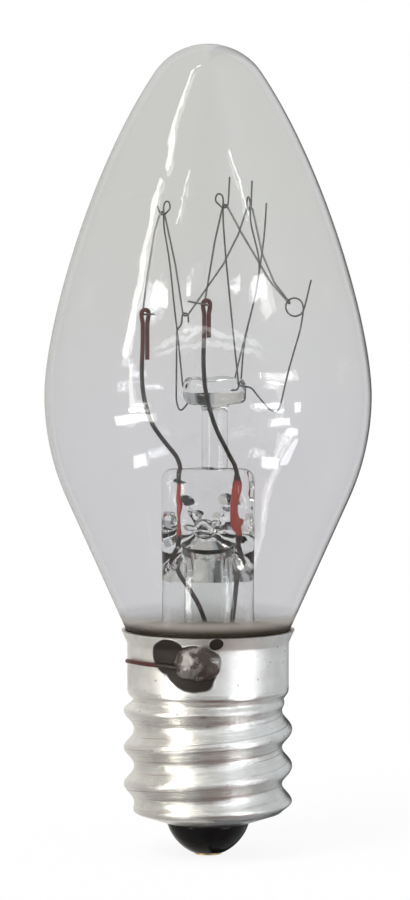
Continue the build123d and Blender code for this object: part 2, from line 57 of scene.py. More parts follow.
# Read from the frame, in millimetres.
glass_low, glass_high = (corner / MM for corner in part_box("glass_envelope"))
shell_low, shell_high = (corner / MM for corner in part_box("screw_shell"))
GLASS_RADIUS = glass_high.x
LAMP_HEIGHT = glass_high.z
NECK_BOTTOM = glass_low.z
RIM_HEIGHT = shell_high.z
SHELL_BOTTOM = shell_low.z

# The outline of the blown glass, in millimetres and degrees.
WIDEST_ABOVE_RIM = 16.05
TIP_RADIUS = 4.4
TIP_JOIN = 34.0
TIP_PULL = 8.0
SHOULDER_PULL = 4.5
BELLY_RADIUS = 17.0
NECK_BLEND = 2.0
GLASS_WALL = 0.5
RIM_GAP = 0.07

# The rolled shell, in millimetres.
CREST_RADIUS = 5.8
THREAD_DEPTH = 0.7
ROOT_RADIUS = CREST_RADIUS - THREAD_DEPTH
COLLAR_RADIUS = CREST_RADIUS - 0.25
SHELL_WALL = 0.25
NECK_RADIUS = ROOT_RADIUS - SHELL_WALL - 0.1
FLARE_HEIGHT = 0.9
STEP_HEIGHT = NECK_BOTTOM - 1.05
MOUTH_RADIUS = 2.88
FLOOR_RISE = 0.75
FLOOR_ROUNDING = 0.75
BEND_ROUNDING = 0.3
PITCH = 2.54
THREAD_LOW = SHELL_BOTTOM + 1.05
THREAD_HIGH = STEP_HEIGHT + 0.15
THREAD_START = THREAD_LOW - 0.45
THREAD_END = THREAD_HIGH + 0.1
CREST_SHARPNESS = 1.15
PHASE_HEIGHT = 3.58        # a crest passes the +X side at this height

# The insulator in the shell's mouth, in millimetres.
MOUTH_GAP = 0.04
HOLE_RADIUS = 0.52
FACE_RADIUS = 1.15
FACE_HEIGHT = 0.14
FLANGE_RADIUS = ROOT_RADIUS - SHELL_WALL - 0.55
FLANGE_RISE = 1.3

# The side solder, the dirt of the shell and the painted shade of the neck, in millimetres.
SOLDER_X = -0.69
SOLDER_HEIGHT = RIM_HEIGHT - 1.75
SOLDER_SINK = 0.12
# Patches of burnt flux: centre, half sizes and unevenness of the edge.
FLUX_PATCHES = (
    ((-2.75, -5.1, RIM_HEIGHT - 1.3), (1.15, 3.0, 1.2), 0.8),
    ((-1.1, -5.4, RIM_HEIGHT - 2.1), (1.75, 3.0, 1.5), 0.8),
    ((0.6, -5.7, RIM_HEIGHT - 0.4), (0.5, 3.0, 0.42), 1.76),
)
FLUX_FRONT = -3.0
FLUX_ON_LEAD = -3.75
LEAD_RED_TOP = RIM_HEIGHT - 0.35
ROLLED_TOP = STEP_HEIGHT + 0.65
# Heights of the painted shade that darkens the glass's tint down to the rim.
RIM_SHADE_TOP = RIM_HEIGHT + 1.0
RIM_SHADE_FULL = RIM_HEIGHT + 0.05
# Heights of a diffuse film of painted shade on the neck, nearly black at the rim.
NECK_SHADE_TOP = RIM_HEIGHT + 1.45
NECK_SHADE_FULL = RIM_HEIGHT + 0.85
NECK_SHADE_BLACK = RIM_HEIGHT + 0.2
# The glass is a little yellower towards the tip.
TINT_TOP = 46.0
TINT_LOW = 26.0

# The stem, the exhaust tube and the rod with its button, in millimetres.
STEM_RADIUS = 3.15
STEM_WALL = 0.6
FLARE_LENGTH = 5.2
TUBE_TOP = RIM_HEIGHT + 4.9
PINCH_HEIGHT = RIM_HEIGHT + 6.6
PRESS_TOP = RIM_HEIGHT + 11.05
SHOULDER_LOW = RIM_HEIGHT + 3.9
SHOULDER_HIGH = RIM_HEIGHT + 7.0
PRESS_HALF_WIDTH = 3.2
PRESS_HALF_DEPTH = 1.35
PRESS_EDGE = 0.8
PRESS_SQUARENESS = 0.28
SEAL_X = 1.95
HOLLOW_TOP = PINCH_HEIGHT - 0.75
HOLLOW_DOME = 2.6
STEM_STEP = 0.12
BUBBLE_CENTRE = (-0.4, 0, PINCH_HEIGHT + 0.2)
BUBBLE_RADII = (1.05, 0.62, 0.85)
EXHAUST_RADIUS = 1.65
EXHAUST_BORE = 1.05
EXHAUST_TOP = TUBE_TOP + 0.6
EXHAUST_BOTTOM = EXHAUST_TOP - 15.4
ROD_X = 0.45
ROD_RADIUS = 0.89
BUTTON_RADIUS = 2.2
BUTTON_LOW = PRESS_TOP + 4.4
BUTTON_HIGH = BUTTON_LOW + 1.85

# Levels of the filament, as the solids have them.
LOW_LEVEL = BUTTON_HIGH + 0.1846 * (LAMP_HEIGHT - BUTTON_HIGH)
HIGH_LEVEL = BUTTON_HIGH + 0.5033 * (LAMP_HEIGHT - BUTTON_HIGH)
LEFT_EYE = Vector((-4.3, -0.5, LOW_LEVEL + 0.15))
RIGHT_EYE = Vector((-0.1, -3.9, LOW_LEVEL + 0.92))
TURN_HALF_WIDTH = 0.2
FOLD_START = LEFT_EYE.z - 3.25
RIGHT_FOLD_RISE = 1.75

# Windows of the mirrored room: azimuth from the viewer and rise in degrees, half width, half
# height, lean and strength.
WINDOWS = (
    (-58.0, 55.0, 3.6, 14.0, -0.12, 11.0),
    (-60.0, 33.0, 2.4, 5.5, 0.25, 10.0),
    (-61.0, 21.0, 2.6, 8.0, 0.3, 10.0),
    (-55.0, 3.0, 1.8, 9.0, -0.1, 8.0),
    (-29.0, 41.0, 0.8, 4.0, 1.4, 9.0),
    (37.5, 42.0, 1.3, 5.5, -1.1, 11.0),
    (-41.0, 26.0, 7.0, 1.6, 0.0, 10.0),
    (-16.0, 28.8, 2.2, 0.9, 0.0, 9.0),
    (23.5, 28.6, 3.9, 0.7, 0.0, 8.0),
    (42.5, 26.2, 6.5, 1.7, 0.0, 10.0),
    (-47.0, -3.5, 5.0, 1.3, 0.0, 11.0),
    (-53.0, -9.5, 15.0, 1.8, 0.0, 11.0),
    (42.5, -3.5, 7.0, 1.3, 0.0, 11.0),
    (65.0, -4.0, 3.3, 2.4, 0.0, 10.0),
    (52.0, -10.3, 6.5, 1.5, 0.0, 11.0),
    (63.0, -14.6, 3.5, 1.3, 0.0, 10.0),
    (-52.0, -27.2, 5.5, 2.5, 0.0, 9.0),
    (49.0, -27.6, 7.0, 2.5, 0.0, 9.0),
    (-50.0, -6.2, 7.0, 0.75, 0.0, 24.0),
    (50.0, -6.0, 4.5, 0.5, 0.0, 16.0),
    (63.7, -22.0, 2.6, 5.0, 0.5, 9.0),
    (-58.0, 76.0, 5.0, 4.0, 0.0, 9.0),
)
# A window's inputs: where gloss looks, and then the values above.
WINDOW_INPUTS = ("Azimuth", "Rise", "Across", "Up", "Half width", "Half height", "Lean", "Strength")
# Ceiling tubes in front of the lamp: rise over distance, and strength.
TUBES = ((0.394, 3.5), (0.352, 3.0))
# The room's walls, as heights from low to high with their light, then azimuths, then tints.
WALLS = ((0.0, 0.48), (0.3, 0.66), (0.6, 0.72), (1.0, 0.82))
CORNER_AZIMUTH = (150.0, 177.0)
RIGHT_WALL_AZIMUTH = 32.0
VIEWER_AZIMUTH = 6.0
WARM_WALL = (0.82, 0.80, 0.755)
COOL_WALL = (0.775, 0.805, 0.83)
BROWN_FLOOR = (0.30, 0.205, 0.18)
# What the stem's glass bends into view, from the viewer's side to the far side.
BACKDROP = ((0.0, 0.04), (0.5, 0.07), (0.72, 0.22), (0.86, 0.80), (0.93, 1.0))

# The photograph's frame, and where the lamp stands in it.
IMAGE_HEIGHT = 900
MM_PER_PIXEL = 0.0685
CONTACT_PIXEL_Y = 857
AXIS_PIXEL_X = 208
IMAGE_CENTRE = (205, 450)
CAMERA_DISTANCE = 300 * MM
CAMERA_RAISE = 4.2
SENSOR = 36
WHITE = (1, 1, 1, 1)


class LampSizes(bpy.types.PropertyGroup):
    """Sizes of the looks that a user would change."""

    coil_diameter: bpy.props.FloatProperty(
        name="Coil diameter", description="Outside of the filament's fine coil",
        default=0.165 * MM, unit="LENGTH", precision=6,
    )
    coil_wire: bpy.props.FloatProperty(
        name="Coil wire", description="Diameter of the tungsten wire in the coil",
        default=0.05 * MM, unit="LENGTH", precision=6,
    )
    coil_pitch: bpy.props.FloatProperty(
        name="Coil pitch", description="Distance from one turn of the coil to the next",
        default=0.085 * MM, unit="LENGTH", precision=6,
    )
    hook_bend: bpy.props.FloatProperty(
        name="Bend at a hook", description="Radius at which the filament turns over a hook",
        default=0.26 * MM, unit="LENGTH", precision=6,
    )
    thread_pitch: bpy.props.FloatProperty(
        name="Thread pitch", description="Height of one turn of the rolled thread",
        default=PITCH * MM, unit="LENGTH", precision=6,
    )
    thread_depth: bpy.props.FloatProperty(
        name="Thread depth", description="How far the crest of the thread stands over its root",
        default=THREAD_DEPTH * MM, unit="LENGTH", precision=6,
    )
    thread_run_out: bpy.props.FloatProperty(
        name="Thread run-out", description="Height in which the thread fades at each end",
        default=0.9 * MM, unit="LENGTH", precision=6,
    )
    solder_width: bpy.props.FloatProperty(
        name="Side solder width", description="Width of the solder on the collar",
        default=3.3 * MM, unit="LENGTH", precision=6,
    )
    solder_height: bpy.props.FloatProperty(
        name="Side solder height", description="Height of the solder on the collar",
        default=2.4 * MM, unit="LENGTH", precision=6,
    )
    solder_bulge: bpy.props.FloatProperty(
        name="Side solder bulge", description="How far the solder stands off the collar",
        default=0.7 * MM, unit="LENGTH", precision=6,
    )


class LampColours(bpy.types.PropertyGroup):
    """Colours of the lamp and its stage."""

    glass: bpy.props.FloatVectorProperty(
        name="Clear glass", description="What one face of the clear glass lets through",
        default=(0.800, 0.797, 0.812), subtype="COLOR", size=3, min=0, max=1,
    )
    metal: bpy.props.FloatVectorProperty(
        name="Shell metal", description="Tinned sheet of the screw shell",
        default=(0.93, 0.925, 0.905), subtype="COLOR", size=3, min=0, max=1,
    )
    black_glass: bpy.props.FloatVectorProperty(
        name="Insulator", description="Black glass in the shell's mouth",
        default=(0.006, 0.006, 0.007), subtype="COLOR", size=3, min=0, max=1,
    )
    flux: bpy.props.FloatVectorProperty(
        name="Flux", description="Burnt flux round the side solder",
        default=(0.022, 0.015, 0.011), subtype="COLOR", size=3, min=0, max=1,
    )
    solder: bpy.props.FloatVectorProperty(
        name="Solder", description="Dull side solder",
        default=(0.27, 0.25, 0.24), subtype="COLOR", size=3, min=0, max=1,
    )
    lead: bpy.props.FloatVectorProperty(
        name="Leads", description="Oxidised nickel of the inner leads",
        default=(0.075, 0.068, 0.064), subtype="COLOR", size=3, min=0, max=1,
    )
    clamp: bpy.props.FloatVectorProperty(
        name="Clamped ends", description="Red-brown scale on the ends that hold the filament",
        default=(0.115, 0.028, 0.022), subtype="COLOR", size=3, min=0, max=1,
    )
    seal: bpy.props.FloatVectorProperty(
        name="Seal wires", description="Red wires that are melted into the press",
        default=(0.50, 0.075, 0.055), subtype="COLOR", size=3, min=0, max=1,
    )
    lacquer: bpy.props.FloatVectorProperty(
        name="Side lead", description="Dark red lacquer on the lead that lies on the collar",
        default=(0.062, 0.009, 0.008), subtype="COLOR", size=3, min=0, max=1,
    )
    tungsten: bpy.props.FloatVectorProperty(
        name="Filament", description="Tungsten of the coil",
        default=(0.20, 0.195, 0.19), subtype="COLOR", size=3, min=0, max=1,
    )
    support: bpy.props.FloatVectorProperty(
        name="Supports", description="Thin wires that hold the filament",
        default=(0.16, 0.155, 0.15), subtype="COLOR", size=3, min=0, max=1,
    )
    copper: bpy.props.FloatVectorProperty(
        name="Copper lead", description="Darkened copper of the lead to the end contact",
        default=(0.022, 0.018, 0.017), subtype="COLOR", size=3, min=0, max=1,
    )
    brass: bpy.props.FloatVectorProperty(
        name="End contact", description="Brass of the end contact",
        default=(0.60, 0.43, 0.19), subtype="COLOR", size=3, min=0, max=1,
    )
    cement: bpy.props.FloatVectorProperty(
        name="Cement", description="Pale basing cement round the neck",
        default=(0.52, 0.475, 0.40), subtype="COLOR", size=3, min=0, max=1,
    )


def sizes():
    """The sizes of the open scene."""
    return bpy.context.scene.lamp_sizes


def colours():
    """The colours of the open scene."""
    return bpy.context.scene.lamp_colours


# Node trees

def shader_tree(name):
    """An empty material with its output."""
    material = bpy.data.materials.new(name)
    material.use_nodes = True
    tree = material.node_tree
    tree.nodes.clear()
    return material, tree, tree.nodes.new("ShaderNodeOutputMaterial")


def put(tree, kind, inputs=(), **settings):
    """Add a node, set it, and set or link its inputs."""
    node = tree.nodes.new(kind)
    for key, value in settings.items():
        setattr(node, key, value)
    for key, value in dict(inputs).items():
        if isinstance(value, bpy.types.NodeSocket):
            tree.links.new(value, node.inputs[key])
        else:
            node.inputs[key].default_value = value
    return node


def place_of(tree):
    """The place on the piece, in metres."""
    return put(tree, "ShaderNodeTexCoord").outputs["Object"]


def stretched(tree, place, scale):
    """The place, stretched along its axes."""
    return put(tree, "ShaderNodeMapping", {"Vector": place, "Scale": scale}).outputs[0]


def noise_at(tree, place, scale, detail=3.0, roughness=0.5, distortion=0.0):
    """Smooth noise with a given number of lumps to the metre."""
    node = put(tree, "ShaderNodeTexNoise", {
        "Vector": place, "Scale": scale, "Detail": detail,
        "Roughness": roughness, "Distortion": distortion,
    })
    return node.outputs["Fac"]


def ramp(tree, factor, stops):
    """A ramp of greys. Each stop is a position and a grey."""
    node = put(tree, "ShaderNodeValToRGB", {"Fac": factor})
    elements = node.color_ramp.elements
    while len(elements) < len(stops):
        elements.new(0.5)
    for element, (position, grey) in zip(elements, stops):
        element.position = position
        element.color = (grey, grey, grey, 1)
    return node.outputs["Color"]


def calc(tree, operation, first, second=0.5, third=0.5):
    """A sum, product or other step on numbers."""
    return put(tree, "ShaderNodeMath", {0: first, 1: second, 2: third}, operation=operation).outputs[0]


def times(tree, first, second):
    """A product."""
    return calc(tree, "MULTIPLY", first, second)


def grown(tree, value, factor, start):
    """A start plus a factor times a value."""
    return calc(tree, "MULTIPLY_ADD", value, factor, start)


def weakened(tree, value, mask, loss, full=1.0):
    """A value times a full share, less a loss where a mask is one."""
    return times(tree, value, grown(tree, mask, -loss, full))


def apart(tree, value, centre):
    """How far a number is from another one."""
    return calc(tree, "ABSOLUTE", calc(tree, "SUBTRACT", value, centre))


def vector_step(tree, operation, first, second=(0, 0, 0), output="Vector"):
    """A sum, product or other step on vectors."""
    return put(tree, "ShaderNodeVectorMath", {0: first, 1: second}, operation=operation).outputs[output]


def stretched_to(tree, direction, length):
    """A direction times a length."""
    return put(tree, "ShaderNodeVectorMath", {0: direction, "Scale": length}, operation="SCALE").outputs[0]


def fade(tree, value, start, end):
    """0 at the start and 1 at the end, smoothed and clamped."""
    node = put(tree, "ShaderNodeMapRange", {
        "Value": value, "From Min": start, "From Max": end,
    }, interpolation_type="SMOOTHSTEP")
    return node.outputs["Result"]


def fade_mm(tree, value, start, end):
    """A fade between two places in millimetres."""
    return fade(tree, value, start * MM, end * MM)


def blend(tree, factor, first, second):
    """A mix of two colours."""
    node = put(tree, "ShaderNodeMix", data_type="RGBA")
    for index, value in ((0, factor), (6, first), (7, second)):
        if isinstance(value, bpy.types.NodeSocket):
            tree.links.new(value, node.inputs[index])
        elif index == 0:
            node.inputs[index].default_value = value
        else:
            node.inputs[index].default_value = (*value[:3], 1)
    return node.outputs[2]


def axis_of(tree, place, axis):
    """One coordinate of a place."""
    return put(tree, "ShaderNodeSeparateXYZ", {0: place}).outputs[axis]


def bump(tree, height, distance):
    """A bumped normal."""
    return put(tree, "ShaderNodeBump", {
        "Height": height, "Distance": distance, "Strength": 1.0,
    }).outputs[0]


def mix_shaders(tree, share, first, second):
    """Two shaders mixed. The share is the second one's."""
    return put(tree, "ShaderNodeMixShader", {0: share, 1: first.outputs[0], 2: second.outputs[0]})


def show(tree, output, shader):
    """Join a shader to the surface output."""
    tree.links.new(shader.outputs[0], output.inputs["Surface"])


def principled(tree, output, inputs):
    """The usual surface shader, joined to the output."""
    show(tree, output, put(tree, "ShaderNodeBsdfPrincipled", inputs))


def rgba(colour):
    """A colour with full alpha."""
    return (*colour[:3], 1)


# Meshes

def new_piece(name, verts, faces, face_slots=None, materials=(), crease=40):
    """A smooth closed mesh piece in metres from points in millimetres."""
    mesh = bpy.data.meshes.new(name)
    mesh.from_pydata([Vector(point) * MM for point in verts], [], faces)
    work = bmesh.new()
    work.from_mesh(mesh)
    if work.calc_volume(signed=True) < 0:
        bmesh.ops.reverse_faces(work, faces=work.faces)
    work.to_mesh(mesh)
    work.free()
    mesh.polygons.foreach_set("use_smooth", [True] * len(mesh.polygons))
    mesh.set_sharp_from_angle(angle=radians(crease))
    for material in materials:
        mesh.materials.append(material)
    if face_slots:
        mesh.polygons.foreach_set("material_index", face_slots)
    mesh.update()
    piece = bpy.data.objects.new(name, mesh)
    bpy.context.scene.collection.objects.link(piece)
    return piece


def rings_to_mesh(rings, closed_loop=False, first_pole=None, last_pole=None):
    """Vertices and faces of rings of equal length, with a pole point at either end if given."""
    count = len(rings[0])
    verts = [point for ring in rings for point in ring]
    faces = []
    pairs = len(rings) if closed_loop else len(rings) - 1
    for row in range(pairs):
        here = row * count
        there = ((row + 1) % len(rings)) * count
        for step in range(count):
            after = (step + 1) % count
            faces.append((here + step, here + after, there + after, there + step))
    if first_pole is not None:
        verts.append(first_pole)
        pole = len(verts) - 1
        faces += [(pole, (step + 1) % count, step) for step in range(count)]
    if last_pole is not None:
        verts.append(last_pole)
        pole = len(verts) - 1
        base = (len(rings) - 1) * count
        faces += [(pole, base + step, base + (step + 1) % count) for step in range(count)]
    return verts, faces


def circle_at(radius, height, count, centre_x=0.0):
    """A level ring of points."""
    return [
        (centre_x + radius * cos(2 * pi * step / count), radius * sin(2 * pi * step / count), height)
        for step in range(count)
    ]


def arc_points(centre, radius, start, end, steps):
    """Points of an arc in the half section, the first left out."""
    turn = [start + (end - start) * step / steps for step in range(1, steps + 1)]
    return [
        (centre[0] + radius * cos(radians(angle)), centre[1] + radius * sin(radians(angle)))
        for angle in turn
    ]


def bezier_points(points, steps):
    """Points of a cubic curve in the half section, the first left out."""
    curve = []
    for step in range(1, steps + 1):
        t = step / steps
        weights = ((1 - t) ** 3, 3 * t * (1 - t) ** 2, 3 * t * t * (1 - t), t ** 3)
        curve.append(tuple(sum(w * p[axis] for w, p in zip(weights, points)) for axis in (0, 1)))
    return curve


def line_points(start, end, steps):
    """Points of a straight line, the first left out."""
    return [
        tuple(a + (b - a) * step / steps for a, b in zip(start, end)) for step in range(1, steps + 1)
    ]


def rounded(points, radius, steps=4):
    """An outline whose corners are rounded by short curves."""
    shape = [points[0]]
    for before, corner, after in zip(points, points[1:], points[2:]):
        run_in = Vector(before) - Vector(corner)
        run_out = Vector(after) - Vector(corner)
        cut = min(radius, 0.45 * run_in.length, 0.45 * run_out.length)
        start = Vector(corner) + run_in.normalized() * cut
        end = Vector(corner) + run_out.normalized() * cut
        shape.append(tuple(start))
        shape += bezier_points(
            [start, start.lerp(Vector(corner), 0.6), end.lerp(Vector(corner), 0.6), end], steps
        )
    return shape + [points[-1]]


def cone_slope():
    """The slope of the glass cone under the belly, in radians from the axis."""
    run = COLLAR_RADIUS - SHELL_WALL - RIM_GAP - (GLASS_RADIUS - BELLY_RADIUS)
    drop = WIDEST_ABOVE_RIM + FLARE_HEIGHT
    return atan2(drop, run) - acos(BELLY_RADIUS / hypot(run, drop))


def glass_outline(inset):
    """The half section of the blown glass from the tip to the neck's end."""
    slope = cone_slope()
    tip = (0, LAMP_HEIGHT - TIP_RADIUS)
    widest = RIM_HEIGHT + WIDEST_ABOVE_RIM
    belly = (GLASS_RADIUS - BELLY_RADIUS, widest)
    foot = COLLAR_RADIUS - SHELL_WALL - RIM_GAP
    blend_run = NECK_RADIUS + NECK_BLEND - foot
    blend_height = RIM_HEIGHT - FLARE_HEIGHT - (NECK_BLEND - blend_run * cos(slope)) / sin(slope)
    blend_centre = (NECK_RADIUS + NECK_BLEND, blend_height)
    cone_angle = degrees(slope)
    points = arc_points(tip, TIP_RADIUS - inset, 90, TIP_JOIN, 22)
    join = points[-1]
    away = radians(TIP_JOIN - 90)
    pull = (join[0] + TIP_PULL * cos(away), join[1] + TIP_PULL * sin(away))
    side = GLASS_RADIUS - inset
    points += bezier_points([join, pull, (side, widest + SHOULDER_PULL), (side, widest)], 64)
    points += arc_points(belly, BELLY_RADIUS - inset, 0, -cone_angle, 26)
    arc = arc_points(blend_centre, NECK_BLEND + inset, 180 - cone_angle, 180, 8)
    arc_start = (
        blend_centre[0] + (NECK_BLEND + inset) * cos(radians(180 - cone_angle)),
        blend_centre[1] + (NECK_BLEND + inset) * sin(radians(180 - cone_angle)),
    )
    points += line_points(points[-1], arc_start, 14) + arc
    return points + line_points(points[-1], (NECK_RADIUS - inset, NECK_BOTTOM), 5)


# Materials

def clear_glass_material(name, outer):
    """Clear glass that is seen through: tinted, darker edge on, with painted shade that darkens the neck
    towards the rim.
    """
    material, tree, output = shader_tree(name)
    place = place_of(tree)
    height = axis_of(tree, place, 2)
    waves = noise_at(tree, stretched(tree, place, (1, 1, 0.45)), 230, 2.0)
    seeds = noise_at(tree, stretched(tree, place, (1, 1, 0.6)), 760, 2.0)
    ripple = bump(tree, grown(tree, seeds, 0.16, waves), 0.0001 if outer else 0.00016)
    tint = rgba(colours().glass) if outer else (0.99, 0.99, 0.99, 1)
    warmer = [part * share for part, share in zip(tint, (1.0, 1.004, 0.985))]
    body = blend(tree, fade_mm(tree, height, TINT_TOP, TINT_LOW), warmer, tint)
    at_back = fade_mm(tree, axis_of(tree, place, 1), -1.0, 2.5)
    # Painted shade: the tint darkens towards the rim where the neck goes into the collar, less at the back.
    painted_rim_shade = calc(tree, "POWER", fade_mm(tree, height, RIM_SHADE_TOP, RIM_SHADE_FULL), 1.7)
    painted_rim_shade = weakened(tree, painted_rim_shade, at_back, 0.65)
    body = blend(tree, painted_rim_shade, body, (0.20, 0.165, 0.12) if outer else (0.8, 0.76, 0.71))
    edge = put(tree, "ShaderNodeLayerWeight", {"Blend": 0.5, "Normal": ripple}).outputs["Facing"]
    if outer:
        body = blend(tree, fade(tree, edge, 0.82, 0.95), body, (0.40, 0.41, 0.40))
    through = put(tree, "ShaderNodeBsdfTransparent", {"Color": body})
    shine = put(tree, "ShaderNodeBsdfGlossy", {
        "Color": WHITE, "Roughness": 0.015, "Normal": ripple,
    })
    # The mirror's share is a few hundredths head on, and outside it grows to nearly all edge on.
    share = 0.03
    if outer:
        share = grown(tree, calc(tree, "POWER", edge, 5.0), 0.9, 0.045)
    glass = mix_shaders(tree, share, through, shine)
    if outer:
        # Painted shade on the neck: a diffuse film, grey-brown above and nearly black at the rim, weaker at
        # the back.
        painted_neck_shade = fade_mm(tree, height, NECK_SHADE_TOP, NECK_SHADE_FULL)
        painted_neck_shade = weakened(tree, painted_neck_shade, at_back, 0.5, 0.72)
        deep = fade_mm(tree, height, NECK_SHADE_FULL, NECK_SHADE_BLACK)
        # This diffuse shader holds the painted shade's colour.
        burnt = put(tree, "ShaderNodeBsdfDiffuse", {
            "Color": blend(tree, deep, (0.50, 0.465, 0.41), (0.045, 0.034, 0.024)),
        })
        glass = mix_shaders(tree, painted_neck_shade, glass, burnt)
    show(tree, output, glass)
    return material


def stem_glass_material():
    """Solid glass that bends what is seen through it."""
    material, tree, output = shader_tree("stem_glass")
    waves = noise_at(tree, stretched(tree, place_of(tree), (1, 1, 0.3)), 900, 2.0)
    glass = put(tree, "ShaderNodeBsdfGlass", {
        "Color": (0.985, 0.99, 0.985, 1), "Roughness": 0.0, "IOR": 1.44,
        "Normal": bump(tree, waves, 0.00002),
    })
    clear = put(tree, "ShaderNodeBsdfTransparent", {"Color": (0.93, 0.93, 0.93, 1)})
    in_shadow = put(tree, "ShaderNodeLightPath").outputs["Is Shadow Ray"]
    show(tree, output, mix_shaders(tree, in_shadow, glass, clear))
    return material


def ellipse_mask(tree, place, centre, radii, wobble):
    """One inside an uneven ellipsoid, nought outside; its centre and radii are in millimetres."""
    offset = vector_step(tree, "SUBTRACT", place, [value * MM for value in centre])
    squeezed = vector_step(tree, "DIVIDE", offset, [value * MM for value in radii])
    reach = vector_step(tree, "LENGTH", squeezed, output="Value")
    return fade(tree, calc(tree, "ADD", reach, wobble), 1.04, 0.94)


def burnt_flux(tree, place):
    """Where burnt flux lies on the front of the collar."""
    ragged = calc(tree, "SUBTRACT", noise_at(tree, place, 430, 2.0, 0.4), 0.5)
    stain = 0.0
    for centre, radii, unevenness in FLUX_PATCHES:
        patch = ellipse_mask(tree, place, centre, radii, times(tree, ragged, unevenness))
        stain = calc(tree, "MAXIMUM", stain, patch)
    return times(tree, stain, fade_mm(tree, axis_of(tree, place, 1), FLUX_FRONT, FLUX_FRONT - 1.0))


def rolling_lines(tree, place):
    """Fine lines left by the rolls: level on the collar, and along the thread below it."""
    x, y, z = (axis_of(tree, place, axis) for axis in range(3))
    turn = calc(tree, "ARCTAN2", x, times(tree, y, -1.0))
    phase = calc(tree, "SUBTRACT", times(tree, z, 2 * pi / (PITCH * MM)), turn)
    lines_per_turn = 2.4
    ring = put(tree, "ShaderNodeCombineXYZ", {
        0: times(tree, calc(tree, "COSINE", phase), lines_per_turn),
        1: times(tree, calc(tree, "SINE", phase), lines_per_turn),
    }).outputs[0]
    along = vector_step(tree, "ADD", ring, vector_step(tree, "MULTIPLY", place, (110, 110, 110)))
    thread = noise_at(tree, along, 1.0, 4.0, 0.7)
    level = noise_at(tree, stretched(tree, place, (60, 60, 2600)), 1.0, 4.0, 0.65)
    return blend(tree, fade_mm(tree, z, ROLLED_TOP, ROLLED_TOP - 0.5), level, thread)


def shell_material():
    """Tinned sheet with rolling marks, faint warm stains, specks, and burnt flux round the solder."""
    material, tree, output = shader_tree("shell_metal")
    place = place_of(tree)
    cloudy = noise_at(tree, place, 420, 4.0, 0.6)
    grain = noise_at(tree, place, 9000, 2.0)
    specks = noise_at(tree, place, 2600, 2.0, 0.4)
    rolled = rolling_lines(tree, place)
    worn = fade_mm(tree, axis_of(tree, place, 2), ROLLED_TOP + 0.6, ROLLED_TOP)
    stain = burnt_flux(tree, place)
    colour = blend(tree, fade(tree, cloudy, 0.30, 0.70), rgba(colours().metal), (0.80, 0.785, 0.755))
    grooves = times(tree, fade(tree, rolled, 0.56, 0.70), worn)
    colour = blend(tree, times(tree, grooves, 0.5), colour, (0.46, 0.36, 0.32))
    colour = blend(tree, stain, colour, rgba(colours().flux))
    dirt = times(tree, fade(tree, specks, 0.70, 0.76), 0.6)
    colour = blend(tree, dirt, colour, (0.12, 0.10, 0.085))
    rough = grown(tree, rolled, 0.16, 0.36)
    rough = grown(tree, worn, -0.22, rough)
    rough = grown(tree, stain, 0.1, rough)
    relief = times(tree, rolled, calc(tree, "ADD", worn, 0.6))
    relief = grown(tree, grain, 0.2, relief)
    relief = grown(tree, stain, 2.5, relief)
    principled(tree, output, {
        "Base Color": colour,
        "Metallic": grown(tree, stain, -0.75, 1.0),
        "Roughness": rough,
        "Normal": bump(tree, relief, 0.00004),
    })
    return material


def black_glass_material():
    """Glossy black glass with faint flow lines."""
    material, tree, output = shader_tree("black_glass")
    flow = noise_at(tree, stretched(tree, place_of(tree), (1, 1, 2)), 700, 3.0)
    principled(tree, output, {
        "Base Color": blend(tree, flow, rgba(colours().black_glass), (0.016, 0.014, 0.014)),
        "Roughness": grown(tree, flow, 0.08, 0.04),
        "Specular IOR Level": 0.12,
        "Normal": bump(tree, flow, 0.00006),
    })
    return material


def solder_material(name, dirt):
    """Dull solder, wrinkled, with burnt flux in its hollows."""
    material, tree, output = shader_tree(name)
    place = place_of(tree)
    lumps = noise_at(tree, place, 900, 5.0, 0.65, 0.6)
    fine = noise_at(tree, place, 4200, 3.0)
    burnt = times(tree, fade(tree, lumps, 0.57, 0.45), dirt)
    colour = blend(tree, fine, rgba(colours().solder), (0.36, 0.345, 0.335))
    principled(tree, output, {
        "Base Color": blend(tree, burnt, colour, (0.06, 0.043, 0.034)),
        "Metallic": grown(tree, burnt, -0.7, 0.95),
        "Roughness": grown(tree, fine, 0.25, 0.22),
        "Normal": bump(tree, grown(tree, fine, 0.25, lumps), 0.00012),
    })
    return material


def cement_material():
    """Grainy pale cement."""
    material, tree, output = shader_tree("cement")
    grains = noise_at(tree, place_of(tree), 2400, 4.0, 0.7)
    principled(tree, output, {
        "Base Color": blend(tree, grains, rgba(colours().cement), (0.66, 0.61, 0.54)),
        "Roughness": grown(tree, grains, 0.2, 0.7),
        "Normal": bump(tree, grains, 0.0001),
    })
    return material


def wire_material(name, colour, worn, metallic, roughness, scale=2600):
    """Drawn wire with uneven scale on it."""
    material, tree, output = shader_tree(name)
    patches = noise_at(tree, stretched(tree, place_of(tree), (1, 1, 0.25)), scale, 3.0, 0.6)
    principled(tree, output, {
        "Base Color": blend(tree, fade(tree, patches, 0.35, 0.7), rgba(colour), rgba(worn)),
        "Metallic": metallic,
        "Roughness": grown(tree, patches, 0.25, roughness),
        "Normal": bump(tree, patches, 0.00002),
    })
    return material


